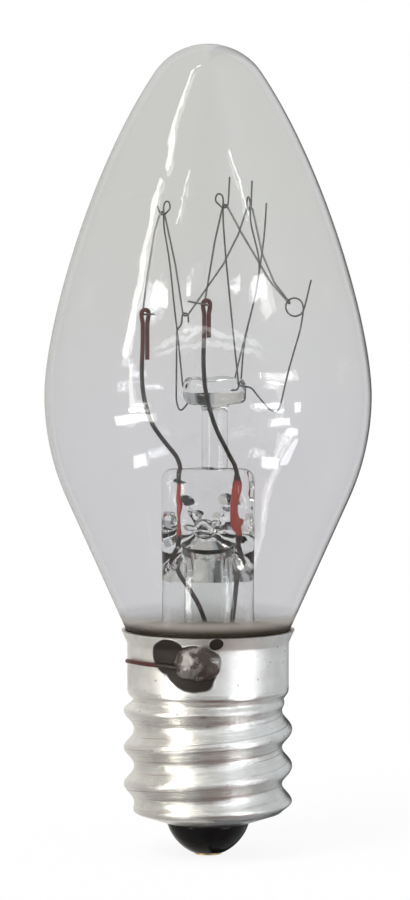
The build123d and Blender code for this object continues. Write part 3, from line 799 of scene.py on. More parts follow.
def lead_material():
    """Oxidised nickel, with red-brown scale where the wire is folded over the filament."""
    material, tree, output = shader_tree("lead_metal")
    place = place_of(tree)
    patches = noise_at(tree, stretched(tree, place, (1, 1, 0.3)), 2200, 3.0, 0.6)
    grey = blend(tree, fade(tree, patches, 0.35, 0.75), rgba(colours().lead), (0.15, 0.135, 0.125))
    brown = blend(tree, patches, rgba(colours().clamp), (0.17, 0.055, 0.045))
    on_right = fade_mm(tree, axis_of(tree, place, 0), -3.0, -2.0)
    start = grown(tree, on_right, RIGHT_FOLD_RISE * MM, FOLD_START * MM)
    above = calc(tree, "SUBTRACT", axis_of(tree, place, 2), start)
    folded = fade_mm(tree, grown(tree, patches, 0.3 * MM, above), 0.0, 0.35)
    principled(tree, output, {
        "Base Color": blend(tree, folded, grey, brown),
        "Metallic": grown(tree, folded, -0.6, 0.8),
        "Roughness": grown(tree, patches, 0.25, 0.32),
        "Normal": bump(tree, patches, 0.00002),
    })
    return material


def side_lead_material():
    """Dark wire inside the lamp, dark red lacquer on the tail that lies on the collar."""
    material, tree, output = shader_tree("side_lead")
    place = place_of(tree)
    patches = noise_at(tree, place, 2600, 3.0)
    dark = blend(tree, patches, (0.018, 0.015, 0.015), (0.045, 0.035, 0.03))
    red = blend(tree, patches, rgba(colours().lacquer), (0.085, 0.013, 0.011))
    in_flux = fade_mm(tree, axis_of(tree, place, 0), FLUX_ON_LEAD, FLUX_ON_LEAD + 0.4)
    red = blend(tree, in_flux, red, rgba(colours().flux))
    outside = fade_mm(tree, axis_of(tree, place, 2), LEAD_RED_TOP, LEAD_RED_TOP - 1.0)
    principled(tree, output, {
        "Base Color": blend(tree, outside, dark, red),
        "Metallic": 0.1,
        "Roughness": grown(tree, patches, 0.25, 0.25),
        "Normal": bump(tree, patches, 0.00002),
    })
    return material


def seal_material():
    """Red wires in the press, dark at their welded ends."""
    material, tree, output = shader_tree("seal_metal")
    place = place_of(tree)
    height = axis_of(tree, place, 2)
    patches = noise_at(tree, place, 1800, 3.0)
    red = blend(tree, patches, rgba(colours().seal), (0.62, 0.13, 0.09))
    top = fade_mm(tree, height, PRESS_TOP - 1.15, PRESS_TOP - 0.85)
    low = fade_mm(tree, height, PINCH_HEIGHT - 0.05, PINCH_HEIGHT - 0.45)
    principled(tree, output, {
        "Base Color": blend(tree, calc(tree, "MAXIMUM", top, low), red, (0.05, 0.03, 0.028)),
        "Metallic": 0.2,
        "Roughness": grown(tree, patches, 0.2, 0.3),
    })
    return material


def stage_material():
    """A pale floor that shows white and keeps the lamp's shadow."""
    material, tree, output = shader_tree("floor")
    path = put(tree, "ShaderNodeLightPath")
    seen = calc(tree, "MAXIMUM", path.outputs["Is Camera Ray"], path.outputs["Is Transmission Ray"])
    paint = put(tree, "ShaderNodeBsdfDiffuse", {"Color": (0.84, 0.84, 0.84, 1)})
    white = put(tree, "ShaderNodeEmission", {"Color": WHITE, "Strength": 1.04})
    show(tree, output, mix_shaders(tree, times(tree, seen, 0.86), paint, white))
    return material


# Operators

class LAMP_OT_blown_glass(bpy.types.Operator):
    """Make the blown glass: one closed wall from the tip to the neck."""

    bl_idname = "lamp.blown_glass"
    bl_label = "Blown glass"

    def execute(self, context):
        around = 176
        outer = glass_outline(0)
        inner = glass_outline(GLASS_WALL)
        section = outer + inner[::-1]
        rings = [circle_at(radius, height, around) for radius, height in section]
        verts, faces = rings_to_mesh(
            rings, first_pole=(0, 0, LAMP_HEIGHT), last_pole=(0, 0, LAMP_HEIGHT - GLASS_WALL)
        )
        outside = (len(outer) - 1) * around
        rows = (len(section) - 1) * around
        face_slots = [0] * outside + [1] * (rows - outside) + [0] * around + [1] * around
        materials = [
            clear_glass_material("clear_glass_outside", True),
            clear_glass_material("clear_glass_inside", False),
        ]
        piece = new_piece("blown_glass", verts, faces, face_slots, materials)
        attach(piece, BODY)
        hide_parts("glass_envelope")
        return {"FINISHED"}


# How far under the pinch the press is marked, and how far it bulges or sinks over the seal wires.
MARKS_BELOW = 1.3
SEAL_PUSH = 0.20
# Lumps and dents of the press: place across, height over the pinch, size and depth.
PRESS_DENTS = (
    (-1.45, 1.9, 0.45, -0.62),
    (-0.75, 0.15, 0.36, -0.60),
    (0.42, 0.15, 0.36, -0.60),
    (0.75, 1.1, 0.30, -0.50),
    (2.75, 0.95, 0.30, -0.55),
    (2.55, 0.05, 0.40, -0.55),
    (-2.5, 1.0, 0.45, 0.22),
)


def clamped(value, low=0):
    """A number that is kept between a low end and one."""
    return min(max(value, low), 1)


def stem_ring(height, inset, count):
    """One level ring of the stem: round in the tube, flattened in the press."""
    flare_top = NECK_BOTTOM + FLARE_LENGTH
    if height < flare_top:
        lip = NECK_RADIUS - GLASS_WALL
        share = (height - NECK_BOTTOM) / FLARE_LENGTH
        half_width = STEM_RADIUS + (lip - STEM_RADIUS) * (1 - share) ** 2 * (1 + 0.6 * share)
        half_depth = half_width
        power = 1.0
    else:
        flat = clamped((height - SHOULDER_LOW) / (SHOULDER_HIGH - SHOULDER_LOW))
        flat = flat * flat * (3 - 2 * flat)
        power = 1.0 - PRESS_SQUARENESS * flat
        half_width = STEM_RADIUS + (PRESS_HALF_WIDTH - STEM_RADIUS) * flat
        half_depth = STEM_RADIUS + (PRESS_HALF_DEPTH - STEM_RADIUS) * flat
    half_width = max(half_width - inset, 0.2)
    half_depth = max(half_depth - inset, 0.2)
    ring = []
    for step in range(count):
        angle = 2 * pi * step / count
        side = cos(angle)
        face = sin(angle)
        x = half_width * abs(side) ** power * (1 if side > 0 else -1)
        y = half_depth * abs(face) ** power * (1 if face > 0 else -1)
        ring.append([x, y, height])
    return ring


def press_marks(point):
    """How far the jaws and the heat moved a point of the press's face outward, in millimetres."""
    x, y, z = point
    rise = z - PINCH_HEIGHT
    if rise < -MARKS_BELOW:
        return 0.0
    front = 1 if y < 0 else -1
    along = clamped((rise + MARKS_BELOW) / 1.2)
    over_wires = clamped((rise - 0.2) / 0.5) * clamped((PRESS_TOP - 0.4 - z) / 0.5)
    push = SEAL_PUSH * (exp(-((x - SEAL_X) / 0.6) ** 2) - exp(-((x + SEAL_X) / 0.45) ** 2))
    push *= over_wires
    for centre_x, centre_rise, size, depth in PRESS_DENTS:
        reach = hypot(x * front - centre_x, rise - centre_rise) / size
        push += depth * exp(-reach * reach)
    waves = 0.12 * noise.noise(Vector((x * 0.9, 3.0 * front, z * 0.7)))
    return along * (push + waves)


class LAMP_OT_stem_glass(bpy.types.Operator):
    """Make the flared tube with its pinched top, the exhaust tube, and the rod with its button."""

    bl_idname = "lamp.stem_glass"
    bl_label = "Stem glass"

    def execute(self, context):
        glass = stem_glass_material()
        self.make_stem(glass)
        self.make_exhaust_tube(glass)
        self.make_rod(glass)
        return {"FINISHED"}

    def make_stem(self, glass):
        """The stem's outside, over its rounded top, and its hollow."""
        around = 200
        rows = int((PRESS_TOP - NECK_BOTTOM) / STEM_STEP)
        outside = [NECK_BOTTOM + row * STEM_STEP for row in range(rows)]
        rings = [stem_ring(height, 0, around) for height in outside if height < PRESS_TOP - PRESS_EDGE]
        for step in range(7):
            angle = radians(90 * step / 6)
            inset = PRESS_EDGE * (1 - cos(angle))
            rings.append(stem_ring(PRESS_TOP - PRESS_EDGE + PRESS_EDGE * sin(angle), inset, around))
        for ring in rings:
            for point in ring:
                mark = press_marks(point)
                if mark and abs(point[1]) > 0.2:
                    point[1] *= 1 + mark / max(abs(point[1]), 0.6)
        for share in (0.75, 0.5, 0.25):
            rings.append([[x * share, y * share, z + 0.08 * (1 - share)] for x, y, z in rings[-1]])
        rows = int((HOLLOW_TOP - NECK_BOTTOM) / STEM_STEP)
        hollow = []
        for height in [HOLLOW_TOP - row * STEM_STEP for row in range(rows)] + [NECK_BOTTOM]:
            ring = stem_ring(height, STEM_WALL, around)
            rise = sin(clamped((HOLLOW_TOP - height) / HOLLOW_DOME, 0.02) * pi / 2)
            hollow.append([[x * rise ** 0.5, y * rise ** 0.85, z] for x, y, z in ring])
        verts, faces = rings_to_mesh(
            rings[::-1] + hollow[::-1],
            first_pole=(0, 0, PRESS_TOP + 0.06), last_pole=(0, 0, HOLLOW_TOP + 0.03),
        )
        self.add_bubble(verts, faces)
        piece = new_piece("stem_glass", verts, faces, materials=[glass], crease=70)
        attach(piece, BODY)
        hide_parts("stem")

    def add_bubble(self, verts, faces):
        """The hole that the exhaust tube was blown through, shut in as a bubble with an uneven skin."""
        around, rows = 64, 32
        rings = []
        for row in range(1, rows):
            level = pi * row / rows
            ring = []
            for step in range(around):
                angle = 2 * pi * step / around
                way = Vector((sin(level) * cos(angle), sin(level) * sin(angle), cos(level)))
                size = 1 + 0.22 * noise.noise(way * 1.7 + Vector((4, 0, 2)))
                ring.append([
                    middle + radius * size * part
                    for middle, radius, part in zip(BUBBLE_CENTRE, BUBBLE_RADII, way)
                ])
            rings.append(ring)
        x, y, z = BUBBLE_CENTRE
        skin, sides = rings_to_mesh(
            rings, first_pole=(x, y, z + BUBBLE_RADII[2]), last_pole=(x, y, z - BUBBLE_RADII[2])
        )
        start = len(verts)
        verts += skin
        faces += [tuple(start + index for index in side) for side in sides]

    def make_exhaust_tube(self, glass):
        """The thin tube that is melted shut inside the base."""
        taper = 1.6
        bore_low = EXHAUST_BOTTOM + 0.8 * taper
        outer = bezier_points([
            (0, EXHAUST_BOTTOM), (0.3 * EXHAUST_RADIUS, EXHAUST_BOTTOM),
            (EXHAUST_RADIUS, EXHAUST_BOTTOM + 0.4 * taper), (EXHAUST_RADIUS, EXHAUST_BOTTOM + taper),
        ], 12)
        outer += line_points(outer[-1], (EXHAUST_RADIUS, EXHAUST_TOP), 24)
        bore_top = (EXHAUST_BORE, EXHAUST_TOP + 0.001)
        bore = line_points(bore_top, (EXHAUST_BORE, EXHAUST_BOTTOM + 2 * taper), 24)
        bore += bezier_points([
            bore[-1], (EXHAUST_BORE, EXHAUST_BOTTOM + taper),
            (0.3 * EXHAUST_BORE, bore_low), (0.02, bore_low),
        ], 12)
        around = 72
        rings = [circle_at(radius, height, around) for radius, height in outer + bore]
        verts, faces = rings_to_mesh(
            rings, first_pole=(0, 0, EXHAUST_BOTTOM), last_pole=(0, 0, bore_low)
        )
        piece = new_piece("exhaust_glass", verts, faces, materials=[glass])
        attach(piece, BODY)
        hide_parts("exhaust_tube")

    def make_rod(self, glass):
        """The solid rod that stands in the press, with its top melted into a button."""
        around = 80
        low = PRESS_TOP - 0.02
        outline = [(0.45, low), (ROD_RADIUS, low)]
        outline += line_points(outline[-1], (ROD_RADIUS, BUTTON_LOW - 0.4), 16)
        outline += bezier_points([
            outline[-1], (ROD_RADIUS, BUTTON_LOW - 0.05), (ROD_RADIUS + 0.15, BUTTON_LOW + 0.02),
            (ROD_RADIUS + 0.5, BUTTON_LOW + 0.03),
        ], 6)
        middle = (BUTTON_LOW + BUTTON_HIGH) / 2
        outline += bezier_points([
            outline[-1], (BUTTON_RADIUS - 0.1, BUTTON_LOW), (BUTTON_RADIUS, BUTTON_LOW + 0.3),
            (BUTTON_RADIUS, middle),
        ], 12)
        outline += bezier_points([
            outline[-1], (BUTTON_RADIUS, BUTTON_HIGH - 0.2), (BUTTON_RADIUS - 0.2, BUTTON_HIGH),
            (BUTTON_RADIUS - 0.8, BUTTON_HIGH),
        ], 12)
        outline += line_points(outline[-1], (0.1, BUTTON_HIGH - 0.06), 6)
        rings = []
        for radius, height in outline:
            ring = circle_at(radius, height, around, ROD_X)
            melted = clamped((height - BUTTON_LOW + 0.3) / 0.6)
            for index, (x, y, z) in enumerate(ring):
                lumps = noise.noise(Vector((x * 1.1, y * 1.1, z * 1.2)))
                swell = 1 + 0.05 * melted * (lumps - 0.35)
                sag = 0.12 * melted * noise.noise(Vector((x * 0.9 + 7, y * 0.9, 0)))
                sag = min(sag, BUTTON_HIGH - z) if z > middle else max(sag, min(BUTTON_LOW - z, 0))
                ring[index] = (ROD_X + (x - ROD_X) * swell, y * swell, z + sag)
            rings.append(ring)
        verts, faces = rings_to_mesh(
            rings, first_pole=(ROD_X, 0, low), last_pole=(ROD_X, 0, BUTTON_HIGH - 0.07)
        )
        piece = new_piece("button_glass", verts, faces, materials=[glass], crease=70)
        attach(piece, BODY)
        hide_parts("button_rod")


def sheet_outline():
    """The half section of the rolled sheet without its thread, as one closed loop."""
    slope = cone_slope()
    rim = COLLAR_RADIUS + FLARE_HEIGHT * tan(slope)
    step_top = STEP_HEIGHT + COLLAR_RADIUS - ROOT_RADIUS

    def skin(inset):
        floor = SHELL_BOTTOM + inset
        corner = rounded([
            (MOUTH_RADIUS, floor), (ROOT_RADIUS - inset, floor + FLOOR_RISE),
            (ROOT_RADIUS - inset, THREAD_LOW),
        ], FLOOR_ROUNDING, 6)
        wall = line_points(corner[-1], (ROOT_RADIUS - inset, STEP_HEIGHT - 0.2), 76)
        step = rounded([
            wall[-1], (ROOT_RADIUS - inset, STEP_HEIGHT), (COLLAR_RADIUS - inset, step_top),
            (COLLAR_RADIUS - inset, step_top + 0.5),
        ], BEND_ROUNDING, 4)
        bead = RIM_HEIGHT - FLARE_HEIGHT - 0.05
        collar = line_points(step[-1], (COLLAR_RADIUS - inset, bead), 14)
        flare = rounded([
            collar[-1], (COLLAR_RADIUS - inset + 0.02, bead + 0.1),
            (rim - inset, RIM_HEIGHT - 0.02 * (inset == 0)),
        ], BEND_ROUNDING, 4)
        return corner + wall + step[1:] + collar + flare[1:]

    outside = skin(0)
    inside = skin(SHELL_WALL)
    lip = bezier_points([
        outside[-1], (outside[-1][0] - 0.04, RIM_HEIGHT), (inside[-1][0] + 0.04, RIM_HEIGHT), inside[-1],
    ], 4)[:-1]
    return outside + lip + inside[::-1]


def node_group(name, inputs):
    """A geometry tree with a geometry input and output and named numbers."""
    tree = bpy.data.node_groups.new(name, "GeometryNodeTree")
    tree.interface.new_socket("Geometry", in_out="INPUT", socket_type="NodeSocketGeometry")
    tree.interface.new_socket("Geometry", in_out="OUTPUT", socket_type="NodeSocketGeometry")
    for label, kind in inputs:
        tree.interface.new_socket(label, in_out="INPUT", socket_type=kind)
    return tree, tree.nodes.new("NodeGroupInput"), tree.nodes.new("NodeGroupOutput")


def run_nodes(piece, tree, values):
    """Run a geometry tree on a piece with its inputs set, and keep the result as a plain mesh."""
    modifier = piece.modifiers.new(tree.name, "NODES")
    modifier.node_group = tree
    for item in tree.interface.items_tree:
        if item.item_type == "SOCKET" and item.in_out == "INPUT" and item.name in values:
            modifier[item.identifier] = values[item.name]
    bpy.context.view_layer.update()
    ready = piece.evaluated_get(bpy.context.evaluated_depsgraph_get())
    mesh = bpy.data.meshes.new_from_object(ready)
    name = piece.name
    bpy.data.objects.remove(piece)
    mesh.name = name
    made = bpy.data.objects.new(name, mesh)
    bpy.context.scene.collection.objects.link(made)
    if not mesh.polygons:
        raise RuntimeError(f"{name} came out empty")
    return made


def thread_tree():
    """Rolls a helical thread into a turned sheet: each point moves out by the thread's height there."""
    tree, given, result = node_group("rolled_thread", [
        ("Pitch", "NodeSocketFloat"), ("Depth", "NodeSocketFloat"), ("Phase height", "NodeSocketFloat"),
        ("Lower end", "NodeSocketFloat"), ("Upper end", "NodeSocketFloat"),
        ("Run-out", "NodeSocketFloat"), ("Material", "NodeSocketMaterial"),
    ])
    value = given.outputs
    position = tree.nodes.new("GeometryNodeInputPosition").outputs[0]
    x, y, z = put(tree, "ShaderNodeSeparateXYZ", {0: position}).outputs
    turn = calc(tree, "DIVIDE", calc(tree, "ARCTAN2", y, x), 2 * pi)
    rise = calc(tree, "DIVIDE", calc(tree, "SUBTRACT", z, value["Phase height"]), value["Pitch"])
    phase = times(tree, calc(tree, "SUBTRACT", rise, turn), 2 * pi)
    ridge = calc(tree, "POWER", grown(tree, calc(tree, "COSINE", phase), 0.5, 0.5), CREST_SHARPNESS)
    height = times(tree, ridge, value["Depth"])
    for end, sign in (("Lower end", 1), ("Upper end", -1)):
        inward = times(tree, calc(tree, "SUBTRACT", z, value[end]), sign)
        height = times(tree, height, fade(tree, inward, 0.0, value["Run-out"]))
    flat = put(tree, "ShaderNodeCombineXYZ", {"X": x, "Y": y}).outputs[0]
    move = stretched_to(tree, vector_step(tree, "NORMALIZE", flat), height)
    rolled = put(tree, "GeometryNodeSetPosition", {"Geometry": value["Geometry"], "Offset": move})
    real = put(tree, "GeometryNodeRealizeInstances", {"Geometry": rolled.outputs[0]})
    dressed = put(tree, "GeometryNodeSetMaterial", {
        "Geometry": real.outputs[0], "Material": value["Material"],
    })
    tree.links.new(dressed.outputs[0], result.inputs[0])
    return tree


class LAMP_OT_screw_shell(bpy.types.Operator):
    """Turn the sheet of the shell and roll its thread."""

    bl_idname = "lamp.screw_shell"
    bl_label = "Screw shell"

    def execute(self, context):
        around = 192
        rings = [circle_at(radius, height, around) for radius, height in sheet_outline()]
        verts, faces = rings_to_mesh(rings, closed_loop=True)
        metal = shell_material()
        blank = new_piece("shell_metal", verts, faces, materials=[metal])
        chosen = sizes()
        piece = run_nodes(blank, thread_tree(), {
            "Pitch": chosen.thread_pitch,
            "Depth": chosen.thread_depth,
            "Phase height": PHASE_HEIGHT * MM,
            "Lower end": THREAD_START * MM,
            "Upper end": THREAD_END * MM,
            "Run-out": chosen.thread_run_out,
            "Material": metal,
        })
        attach(piece, BODY)
        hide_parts("screw_shell")
        return {"FINISHED"}


class LAMP_OT_side_solder(bpy.types.Operator):
    """Make the wrinkled solder on the collar."""

    bl_idname = "lamp.side_solder"
    bl_label = "Side solder"

    def execute(self, context):
        chosen = sizes()
        half_width = chosen.solder_width / MM / 2
        half_height = chosen.solder_height / MM / 2
        bulge = chosen.solder_bulge / MM
        around, rows = 72, 26
        rings = []
        for row in range(1, rows):
            level = pi * row / rows
            dome = cos(level)
            ring = []
            for step in range(around):
                angle = 2 * pi * step / around
                uneven = 1 + 0.13 * noise.noise(Vector((2.2 * cos(angle), 2.2 * sin(angle), 5.0)))
                x = half_width * uneven * sin(level) * cos(angle)
                z = half_height * uneven * sin(level) * sin(angle)
                lumps = noise.noise(Vector((x * 1.6, z * 1.6, 1.0)))
                lumps += 0.5 * noise.noise(Vector((x * 4, z * 4, 8)))
                out = bulge * dome * (1 + 0.16 * lumps) if dome > 0 else SOLDER_SINK * dome
                ring.append(self.on_collar(x, z, out))
            rings.append(ring)
        verts, faces = rings_to_mesh(
            rings,
            first_pole=self.on_collar(0, 0, bulge),
            last_pole=self.on_collar(0, 0, -SOLDER_SINK),
        )
        piece = new_piece(
            "solder_on_collar", verts, faces, materials=[solder_material("side_solder", 1.0)], crease=80
        )
        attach(piece, BODY)
        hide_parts("side_solder")
        return {"FINISHED"}

    def on_collar(self, x, z, out):
        """A point beside, over and outward of the place where the solder sits on the collar."""
        radius = COLLAR_RADIUS + out
        turn = (SOLDER_X + x) / COLLAR_RADIUS
        return (radius * sin(turn), -radius * cos(turn), SOLDER_HEIGHT + z)


class LAMP_OT_insulator(bpy.types.Operator):
    """Make the black glass that fills the shell's mouth."""

    bl_idname = "lamp.insulator"
    bl_label = "Insulator"

    def execute(self, context):
        mouth = MOUTH_RADIUS - MOUTH_GAP
        floor = SHELL_BOTTOM + SHELL_WALL + MOUTH_GAP
        floor_run = ROOT_RADIUS - SHELL_WALL - MOUTH_RADIUS
        flange_low = floor + FLOOR_RISE * (FLANGE_RADIUS - MOUTH_RADIUS) / floor_run
        flange_high = flange_low + FLANGE_RISE
        outline = [(HOLE_RADIUS, FACE_HEIGHT + 0.02), (0.95, FACE_HEIGHT), (FACE_RADIUS, FACE_HEIGHT)]
        outline += bezier_points([outline[-1], (1.75, 0.42), (2.58, 1.15), (mouth, SHELL_BOTTOM)], 20)
        outline += [(mouth, floor), (FLANGE_RADIUS, flange_low), (FLANGE_RADIUS, flange_high)]
        outline += [(FLANGE_RADIUS / 2, flange_high), (HOLE_RADIUS, floor + MOUTH_GAP)]
        rings = [circle_at(radius, height, 96) for radius, height in outline]
        verts, faces = rings_to_mesh(rings, closed_loop=True)
        piece = new_piece("insulator_glass", verts, faces, materials=[black_glass_material()], crease=35)
        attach(piece, BODY)
        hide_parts("insulator")
        return {"FINISHED"}


def level_step(angle, distance):
    """A level step at an angle from +X."""
    return Vector((distance * cos(radians(angle)), distance * sin(radians(angle)), 0))


def filament_route():
    """The filament's route, with two points at the top of each turn."""
    def astride(apex, angle):
        return [apex - level_step(angle, TURN_HALF_WIDTH), apex + level_step(angle, TURN_HALF_WIDTH)]

    def bowed(start, end, bows):
        return [start + (end - start) * share + Vector(step) for share, step in bows]

    top_left = Vector((-3.15, 3.0, HIGH_LEVEL - 0.2))
    low_back = Vector((-1.58, 4.1, LOW_LEVEL - 0.15))
    top_back = Vector((2.88, 3.3, HIGH_LEVEL + 0.1))
    right_ring = Vector((5.58, 0.3, LOW_LEVEL + 0.87))
    top_front = Vector((1.12, -3.3, HIGH_LEVEL + 0.4))
    return (
        [
            LEFT_EYE + Vector((0.66, -0.5, 0.05)),
            LEFT_EYE + Vector((0.14, -0.42, 0)),
            LEFT_EYE + Vector((-0.16, 0.48, 0)),
        ]
        + bowed(LEFT_EYE, top_left, [(0.3, (-0.26, 0, 0)), (0.82, (-0.3, 0, 0))])
        + astride(top_left, 52)
        + bowed(top_left, low_back, [(0.5, (0.1, -0.1, 0))])
        + astride(low_back, 45)
        + bowed(low_back, top_back, [(0.48, (0.5, 0, 0)), (0.76, (0.3, 0, 0))])
        + astride(top_back, -25)
        + bowed(top_back, right_ring, [(0.48, (-0.45, 0, 0)), (0.78, (-0.45, 0, 0))])
        + astride(right_ring, -105)
        + bowed(right_ring, top_front, [(0.22, (-0.35, 0, 0)), (0.72, (-0.12, 0, 0))])
        + astride(top_front, -124)
        + bowed(top_front, RIGHT_EYE, [(0.36, (-0.22, 0.1, 0))])
        + [
            RIGHT_EYE + Vector((-0.15, 0.45, 0.02)),
            RIGHT_EYE + Vector((0.2, -0.6, 0)),
            RIGHT_EYE + Vector((-1.25, -0.66, 0.28)),
        ]
    )


def coil_tree():
    """Winds a fine coil of wire along a curve."""
    tree, given, result = node_group("wound_coil", [
        ("Bend radius", "NodeSocketFloat"), ("Coil radius", "NodeSocketFloat"),
        ("Pitch", "NodeSocketFloat"), ("Wire radius", "NodeSocketFloat"),
        ("Points per turn", "NodeSocketInt"), ("Material", "NodeSocketMaterial"),
    ])
    value = given.outputs
    bent = put(tree, "GeometryNodeFilletCurve", {
        "Curve": value["Geometry"], "Radius": value["Bend radius"], "Limit Radius": True, "Count": 8,
    }, mode="POLY")
    length = put(tree, "GeometryNodeCurveLength", {"Curve": bent.outputs[0]}).outputs[0]
    count = times(tree, calc(tree, "DIVIDE", length, value["Pitch"]), value["Points per turn"])
    fine = put(tree, "GeometryNodeResampleCurve", {"Curve": bent.outputs[0], "Count": count}, mode="COUNT")
    along = tree.nodes.new("GeometryNodeSplineParameter").outputs["Length"]
    angle = times(tree, calc(tree, "DIVIDE", along, value["Pitch"]), 2 * pi)
    normal = tree.nodes.new("GeometryNodeInputNormal").outputs[0]
    tangent = tree.nodes.new("GeometryNodeInputTangent").outputs[0]
    side = vector_step(tree, "CROSS_PRODUCT", tangent, normal)
    arms = [
        stretched_to(tree, axis, times(tree, calc(tree, wave, angle), value["Coil radius"]))
        for axis, wave in ((normal, "COSINE"), (side, "SINE"))
    ]
    offset = vector_step(tree, "ADD", *arms)
    wound = put(tree, "GeometryNodeSetPosition", {"Geometry": fine.outputs[0], "Offset": offset})
    section = put(tree, "GeometryNodeCurvePrimitiveCircle", {
        "Resolution": 5, "Radius": value["Wire radius"],
    })
    wire = put(tree, "GeometryNodeCurveToMesh", {
        "Curve": wound.outputs[0], "Profile Curve": section.outputs[0], "Fill Caps": True,
    })
    smooth = put(tree, "GeometryNodeSetShadeSmooth", {"Geometry": wire.outputs[0]})
    real = put(tree, "GeometryNodeRealizeInstances", {"Geometry": smooth.outputs[0]})
    dressed = put(tree, "GeometryNodeSetMaterial", {
        "Geometry": real.outputs[0], "Material": value["Material"],
    })
    tree.links.new(dressed.outputs[0], result.inputs[0])
    return tree


class LAMP_OT_filament(bpy.types.Operator):
    """Wind the filament's fine coil along its zigzag."""

    bl_idname = "lamp.filament"
    bl_label = "Filament"

    def execute(self, context):
        chosen = sizes()
        route = bpy.data.curves.new("filament_coil", "CURVE")
        route.dimensions = "3D"
        points = filament_route()
        spline = route.splines.new("POLY")
        spline.points.add(len(points) - 1)
        for point, place in zip(spline.points, points):
            point.co = (*(place * MM), 1)
        blank = bpy.data.objects.new("filament_coil", route)
        bpy.context.scene.collection.objects.link(blank)
        tungsten = wire_material("filament_wire", colours().tungsten, (0.32, 0.31, 0.30), 0.9, 0.3, 6000)
        piece = run_nodes(blank, coil_tree(), {
            "Bend radius": chosen.hook_bend,
            "Coil radius": (chosen.coil_diameter - chosen.coil_wire) / 2,
            "Pitch": chosen.coil_pitch,
            "Wire radius": chosen.coil_wire / 2,
            "Points per turn": 10,
            "Material": tungsten,
        })
        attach(piece, BODY)
        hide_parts("filament")
        return {"FINISHED"}


class LAMP_OT_wires_and_trim(bpy.types.Operator):
    """Give the leads, supports, cement and contact their finishes."""

    bl_idname = "lamp.wires_and_trim"
    bl_label = "Wires and trim"

    def execute(self, context):
        chosen = colours()
        lead = lead_material()
        seal = seal_material()
        support = wire_material("support_wire", chosen.support, (0.24, 0.235, 0.23), 0.85, 0.3)
        copper = wire_material("copper_wire", chosen.copper, (0.05, 0.036, 0.03), 0.6, 0.4)
        lacquer = side_lead_material()
        brass = wire_material("contact_metal", chosen.brass, (0.48, 0.34, 0.16), 1.0, 0.25, 1500)
        finish = {
            "inner_lead_left": lead, "inner_lead_right": lead,
            "seal_wire_left": seal, "seal_wire_right": seal,
            "outer_lead_centre": copper, "outer_lead_side": lacquer,
            "contact_eyelet": brass, "centre_solder": solder_material("centre_solder", 0.3),
            "basing_cement": cement_material(),
        }
        for name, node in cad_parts.items():
            if name.startswith("support_"):
                finish[name] = support
            if name in finish:
                node.data.materials.clear()
                node.data.materials.append(finish[name])
        return {"FINISHED"}


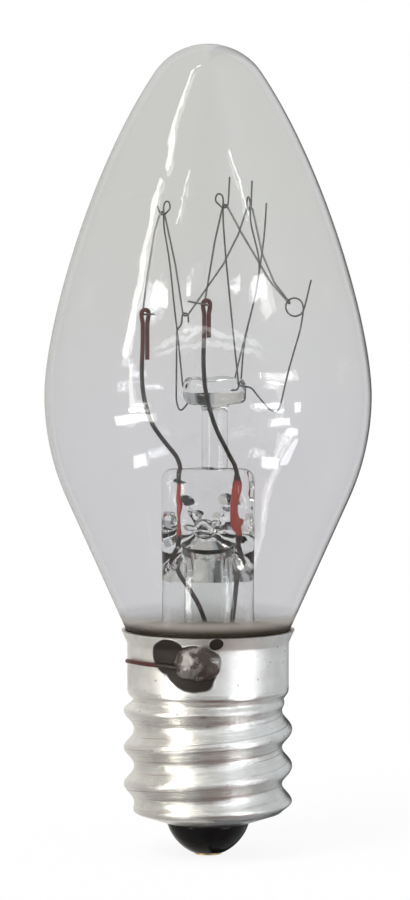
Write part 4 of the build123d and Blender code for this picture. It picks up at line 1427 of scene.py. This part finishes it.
class LAMP_OT_stage(bpy.types.Operator):
    """Make the pale floor, the world, the soft sun and the camera."""

    bl_idname = "lamp.stage"
    bl_label = "Stage"

    def execute(self, context):
        self.make_floor()
        self.make_world()
        self.make_sun()
        self.make_camera()
        context.scene.view_settings.view_transform = "Standard"
        return {"FINISHED"}

    def make_floor(self):
        """A wide round floor under the contact."""
        mesh = bpy.data.meshes.new("floor")
        work = bmesh.new()
        bmesh.ops.create_circle(work, cap_ends=True, segments=96, radius=3.0)
        work.to_mesh(mesh)
        work.free()
        mesh.materials.append(stage_material())
        floor = bpy.data.objects.new("floor", mesh)
        bpy.context.scene.collection.objects.link(floor)
        floor.visible_glossy = False

    def make_world(self):
        """White behind the lamp, even light on it, and a studio for it to mirror."""
        world = bpy.data.worlds.new("studio")
        bpy.context.scene.world = world
        world.use_nodes = True
        tree = world.node_tree
        tree.nodes.clear()
        output = tree.nodes.new("ShaderNodeOutputWorld")
        path = put(tree, "ShaderNodeLightPath").outputs
        direction = put(tree, "ShaderNodeTexCoord").outputs["Generated"]
        parts = put(tree, "ShaderNodeSeparateXYZ", {0: direction}).outputs
        even = put(tree, "ShaderNodeBackground", {"Color": WHITE, "Strength": 0.62})
        ahead = grown(tree, parts[1], 0.5, 0.5)
        through = put(tree, "ShaderNodeBackground", {
            "Color": ramp(tree, ahead, BACKDROP), "Strength": 1.0,
        })
        light, tint = self.mirrored_room(tree, parts)
        studio = put(tree, "ShaderNodeBackground", {"Color": tint, "Strength": light})
        white = put(tree, "ShaderNodeBackground", {"Color": WHITE, "Strength": 1.0})
        shown = even
        for test, choice in (
            ("Is Transmission Ray", through), ("Is Glossy Ray", studio), ("Is Camera Ray", white),
        ):
            shown = mix_shaders(tree, path[test], shown, choice)
        show(tree, output, shown)

    def mirrored_room(self, tree, parts):
        """The light and the tint of what gloss mirrors: walls, a dark corner, windows and tubes."""
        front = times(tree, parts[1], -1.0)
        azimuth = calc(tree, "DEGREES", calc(tree, "ARCTAN2", parts[0], front))
        rise = calc(tree, "DEGREES", calc(tree, "ARCSINE", parts[2]))
        light = self.wall_light(tree, azimuth, rise)
        pane = self.pane_group()
        for window in WINDOWS:
            given = dict(zip(WINDOW_INPUTS, (azimuth, rise, *window)))
            lit = put(tree, "ShaderNodeGroup", given, node_tree=pane)
            light = calc(tree, "ADD", light, lit.outputs[0])
        # The tubes are level lines, so they are set by rise over distance.
        level = calc(tree, "DIVIDE", parts[2], calc(tree, "MAXIMUM", front, 0.02))
        reach = fade(tree, calc(tree, "ABSOLUTE", azimuth), 46.0, 30.0)
        for height, strength in TUBES:
            tube = times(tree, fade(tree, apart(tree, level, height), 0.013, 0.009), reach)
            light = grown(tree, tube, strength, light)
        # Warm on the left and cool on the right, with a brown floor in front on the right.
        tint = blend(tree, fade(tree, azimuth, -70.0, 50.0), WARM_WALL, COOL_WALL)
        low = fade(tree, rise, -12.0, -24.0)
        near = times(tree, fade(tree, azimuth, -35.0, 0.0), fade(tree, azimuth, 105.0, 75.0))
        brown = times(tree, times(tree, low, near), 0.85)
        brown = times(tree, brown, fade(tree, light, 1.6, 1.1))
        return light, blend(tree, brown, tint, BROWN_FLOOR)

    def wall_light(self, tree, azimuth, rise):
        """How light the walls are: a dark corner behind, paler on the right and far left, less in front."""
        start, end = CORNER_AZIMUTH
        corner = times(tree, fade(tree, azimuth, start, start + 10.0), fade(tree, azimuth, end, end - 5.0))
        light = weakened(tree, ramp(tree, fade(tree, rise, -70.0, 70.0), WALLS), corner, 0.96)
        on_right = fade(tree, apart(tree, azimuth, RIGHT_WALL_AZIMUTH), 75.0, 10.0)
        light = grown(tree, on_right, 0.30, light)
        at_viewer = fade(tree, apart(tree, azimuth, VIEWER_AZIMUTH), 40.0, 14.0)
        light = weakened(tree, light, at_viewer, 0.34)
        return grown(tree, fade(tree, azimuth, -120.0, -165.0), 0.25, light)

    def pane_group(self):
        """One window in the mirrored room, by azimuth and rise in degrees."""
        tree = bpy.data.node_groups.new("window_pane", "ShaderNodeTree")
        for label in WINDOW_INPUTS:
            tree.interface.new_socket(label, in_out="INPUT", socket_type="NodeSocketFloat")
        tree.interface.new_socket("Light", in_out="OUTPUT", socket_type="NodeSocketFloat")
        given = tree.nodes.new("NodeGroupInput").outputs
        result = tree.nodes.new("NodeGroupOutput")
        above = calc(tree, "SUBTRACT", given["Rise"], given["Up"])
        beside = calc(tree, "SUBTRACT", given["Azimuth"], given["Across"])
        beside = calc(tree, "SUBTRACT", beside, times(tree, above, given["Lean"]))
        light = given["Strength"]
        for distance, half in ((beside, given["Half width"]), (above, given["Half height"])):
            outside = calc(tree, "SUBTRACT", calc(tree, "ABSOLUTE", distance), half)
            light = times(tree, light, fade(tree, outside, 0.4, -0.4))
        tree.links.new(light, result.inputs[0])
        return tree

    def make_sun(self):
        """One soft sun for shape."""
        sun = bpy.data.lights.new("soft_sun", "SUN")
        sun.energy = 1.15
        sun.angle = radians(28)
        shining = Vector((0.45, 0.55, -0.85))
        lamp = bpy.data.objects.new("soft_sun", sun)
        lamp.rotation_euler = shining.to_track_quat("-Z", "Y").to_euler()
        lamp.visible_glossy = False
        bpy.context.scene.collection.objects.link(lamp)

    def make_camera(self):
        """A long lens, a little above the lamp."""
        camera = bpy.data.cameras.new("camera")
        camera.sensor_width = SENSOR
        camera.lens = SENSOR * CAMERA_DISTANCE / (IMAGE_HEIGHT * MM_PER_PIXEL * MM)
        camera.clip_start = 0.01
        centre = Vector((
            (IMAGE_CENTRE[0] - AXIS_PIXEL_X) * MM_PER_PIXEL * MM,
            0,
            (CONTACT_PIXEL_Y - IMAGE_CENTRE[1]) * MM_PER_PIXEL * MM,
        ))
        rise = radians(CAMERA_RAISE)
        viewer = bpy.data.objects.new("camera", camera)
        viewer.location = centre + CAMERA_DISTANCE * Vector((0, -cos(rise), sin(rise)))
        viewer.rotation_euler = (radians(90) - rise, 0, 0)
        bpy.context.scene.collection.objects.link(viewer)
        bpy.context.scene.camera = viewer


class LAMP_PT_panel(bpy.types.Panel):
    """Lists the lamp's sizes, colours and steps."""

    bl_label = "Filament lamp"
    bl_idname = "LAMP_PT_panel"
    bl_space_type = "VIEW_3D"
    bl_region_type = "UI"
    bl_category = "Lamp"

    def draw(self, context):
        for group in (context.scene.lamp_sizes, context.scene.lamp_colours):
            box = self.layout.box()
            for name in group.__annotations__:
                box.prop(group, name)
        for step in STEPS:
            self.layout.operator(step.bl_idname)


STEPS = (
    LAMP_OT_blown_glass,
    LAMP_OT_stem_glass,
    LAMP_OT_screw_shell,
    LAMP_OT_side_solder,
    LAMP_OT_insulator,
    LAMP_OT_filament,
    LAMP_OT_wires_and_trim,
    LAMP_OT_stage,
)
CLASSES = (LampSizes, LampColours, *STEPS, LAMP_PT_panel)


def register():
    """Register the classes and the scene's two groups of values."""
    for each in CLASSES:
        bpy.utils.register_class(each)
    bpy.types.Scene.lamp_sizes = bpy.props.PointerProperty(type=LampSizes)
    bpy.types.Scene.lamp_colours = bpy.props.PointerProperty(type=LampColours)


def unregister():
    """Undo register."""
    del bpy.types.Scene.lamp_colours
    del bpy.types.Scene.lamp_sizes
    for each in reversed(CLASSES):
        bpy.utils.unregister_class(each)


def main():
    """Make every piece in order."""
    register()
    bpy.ops.lamp.blown_glass()
    bpy.ops.lamp.stem_glass()
    bpy.ops.lamp.screw_shell()
    bpy.ops.lamp.side_solder()
    bpy.ops.lamp.insulator()
    bpy.ops.lamp.filament()
    bpy.ops.lamp.wires_and_trim()
    bpy.ops.lamp.stage()


if __name__ == "__main__":
    main()
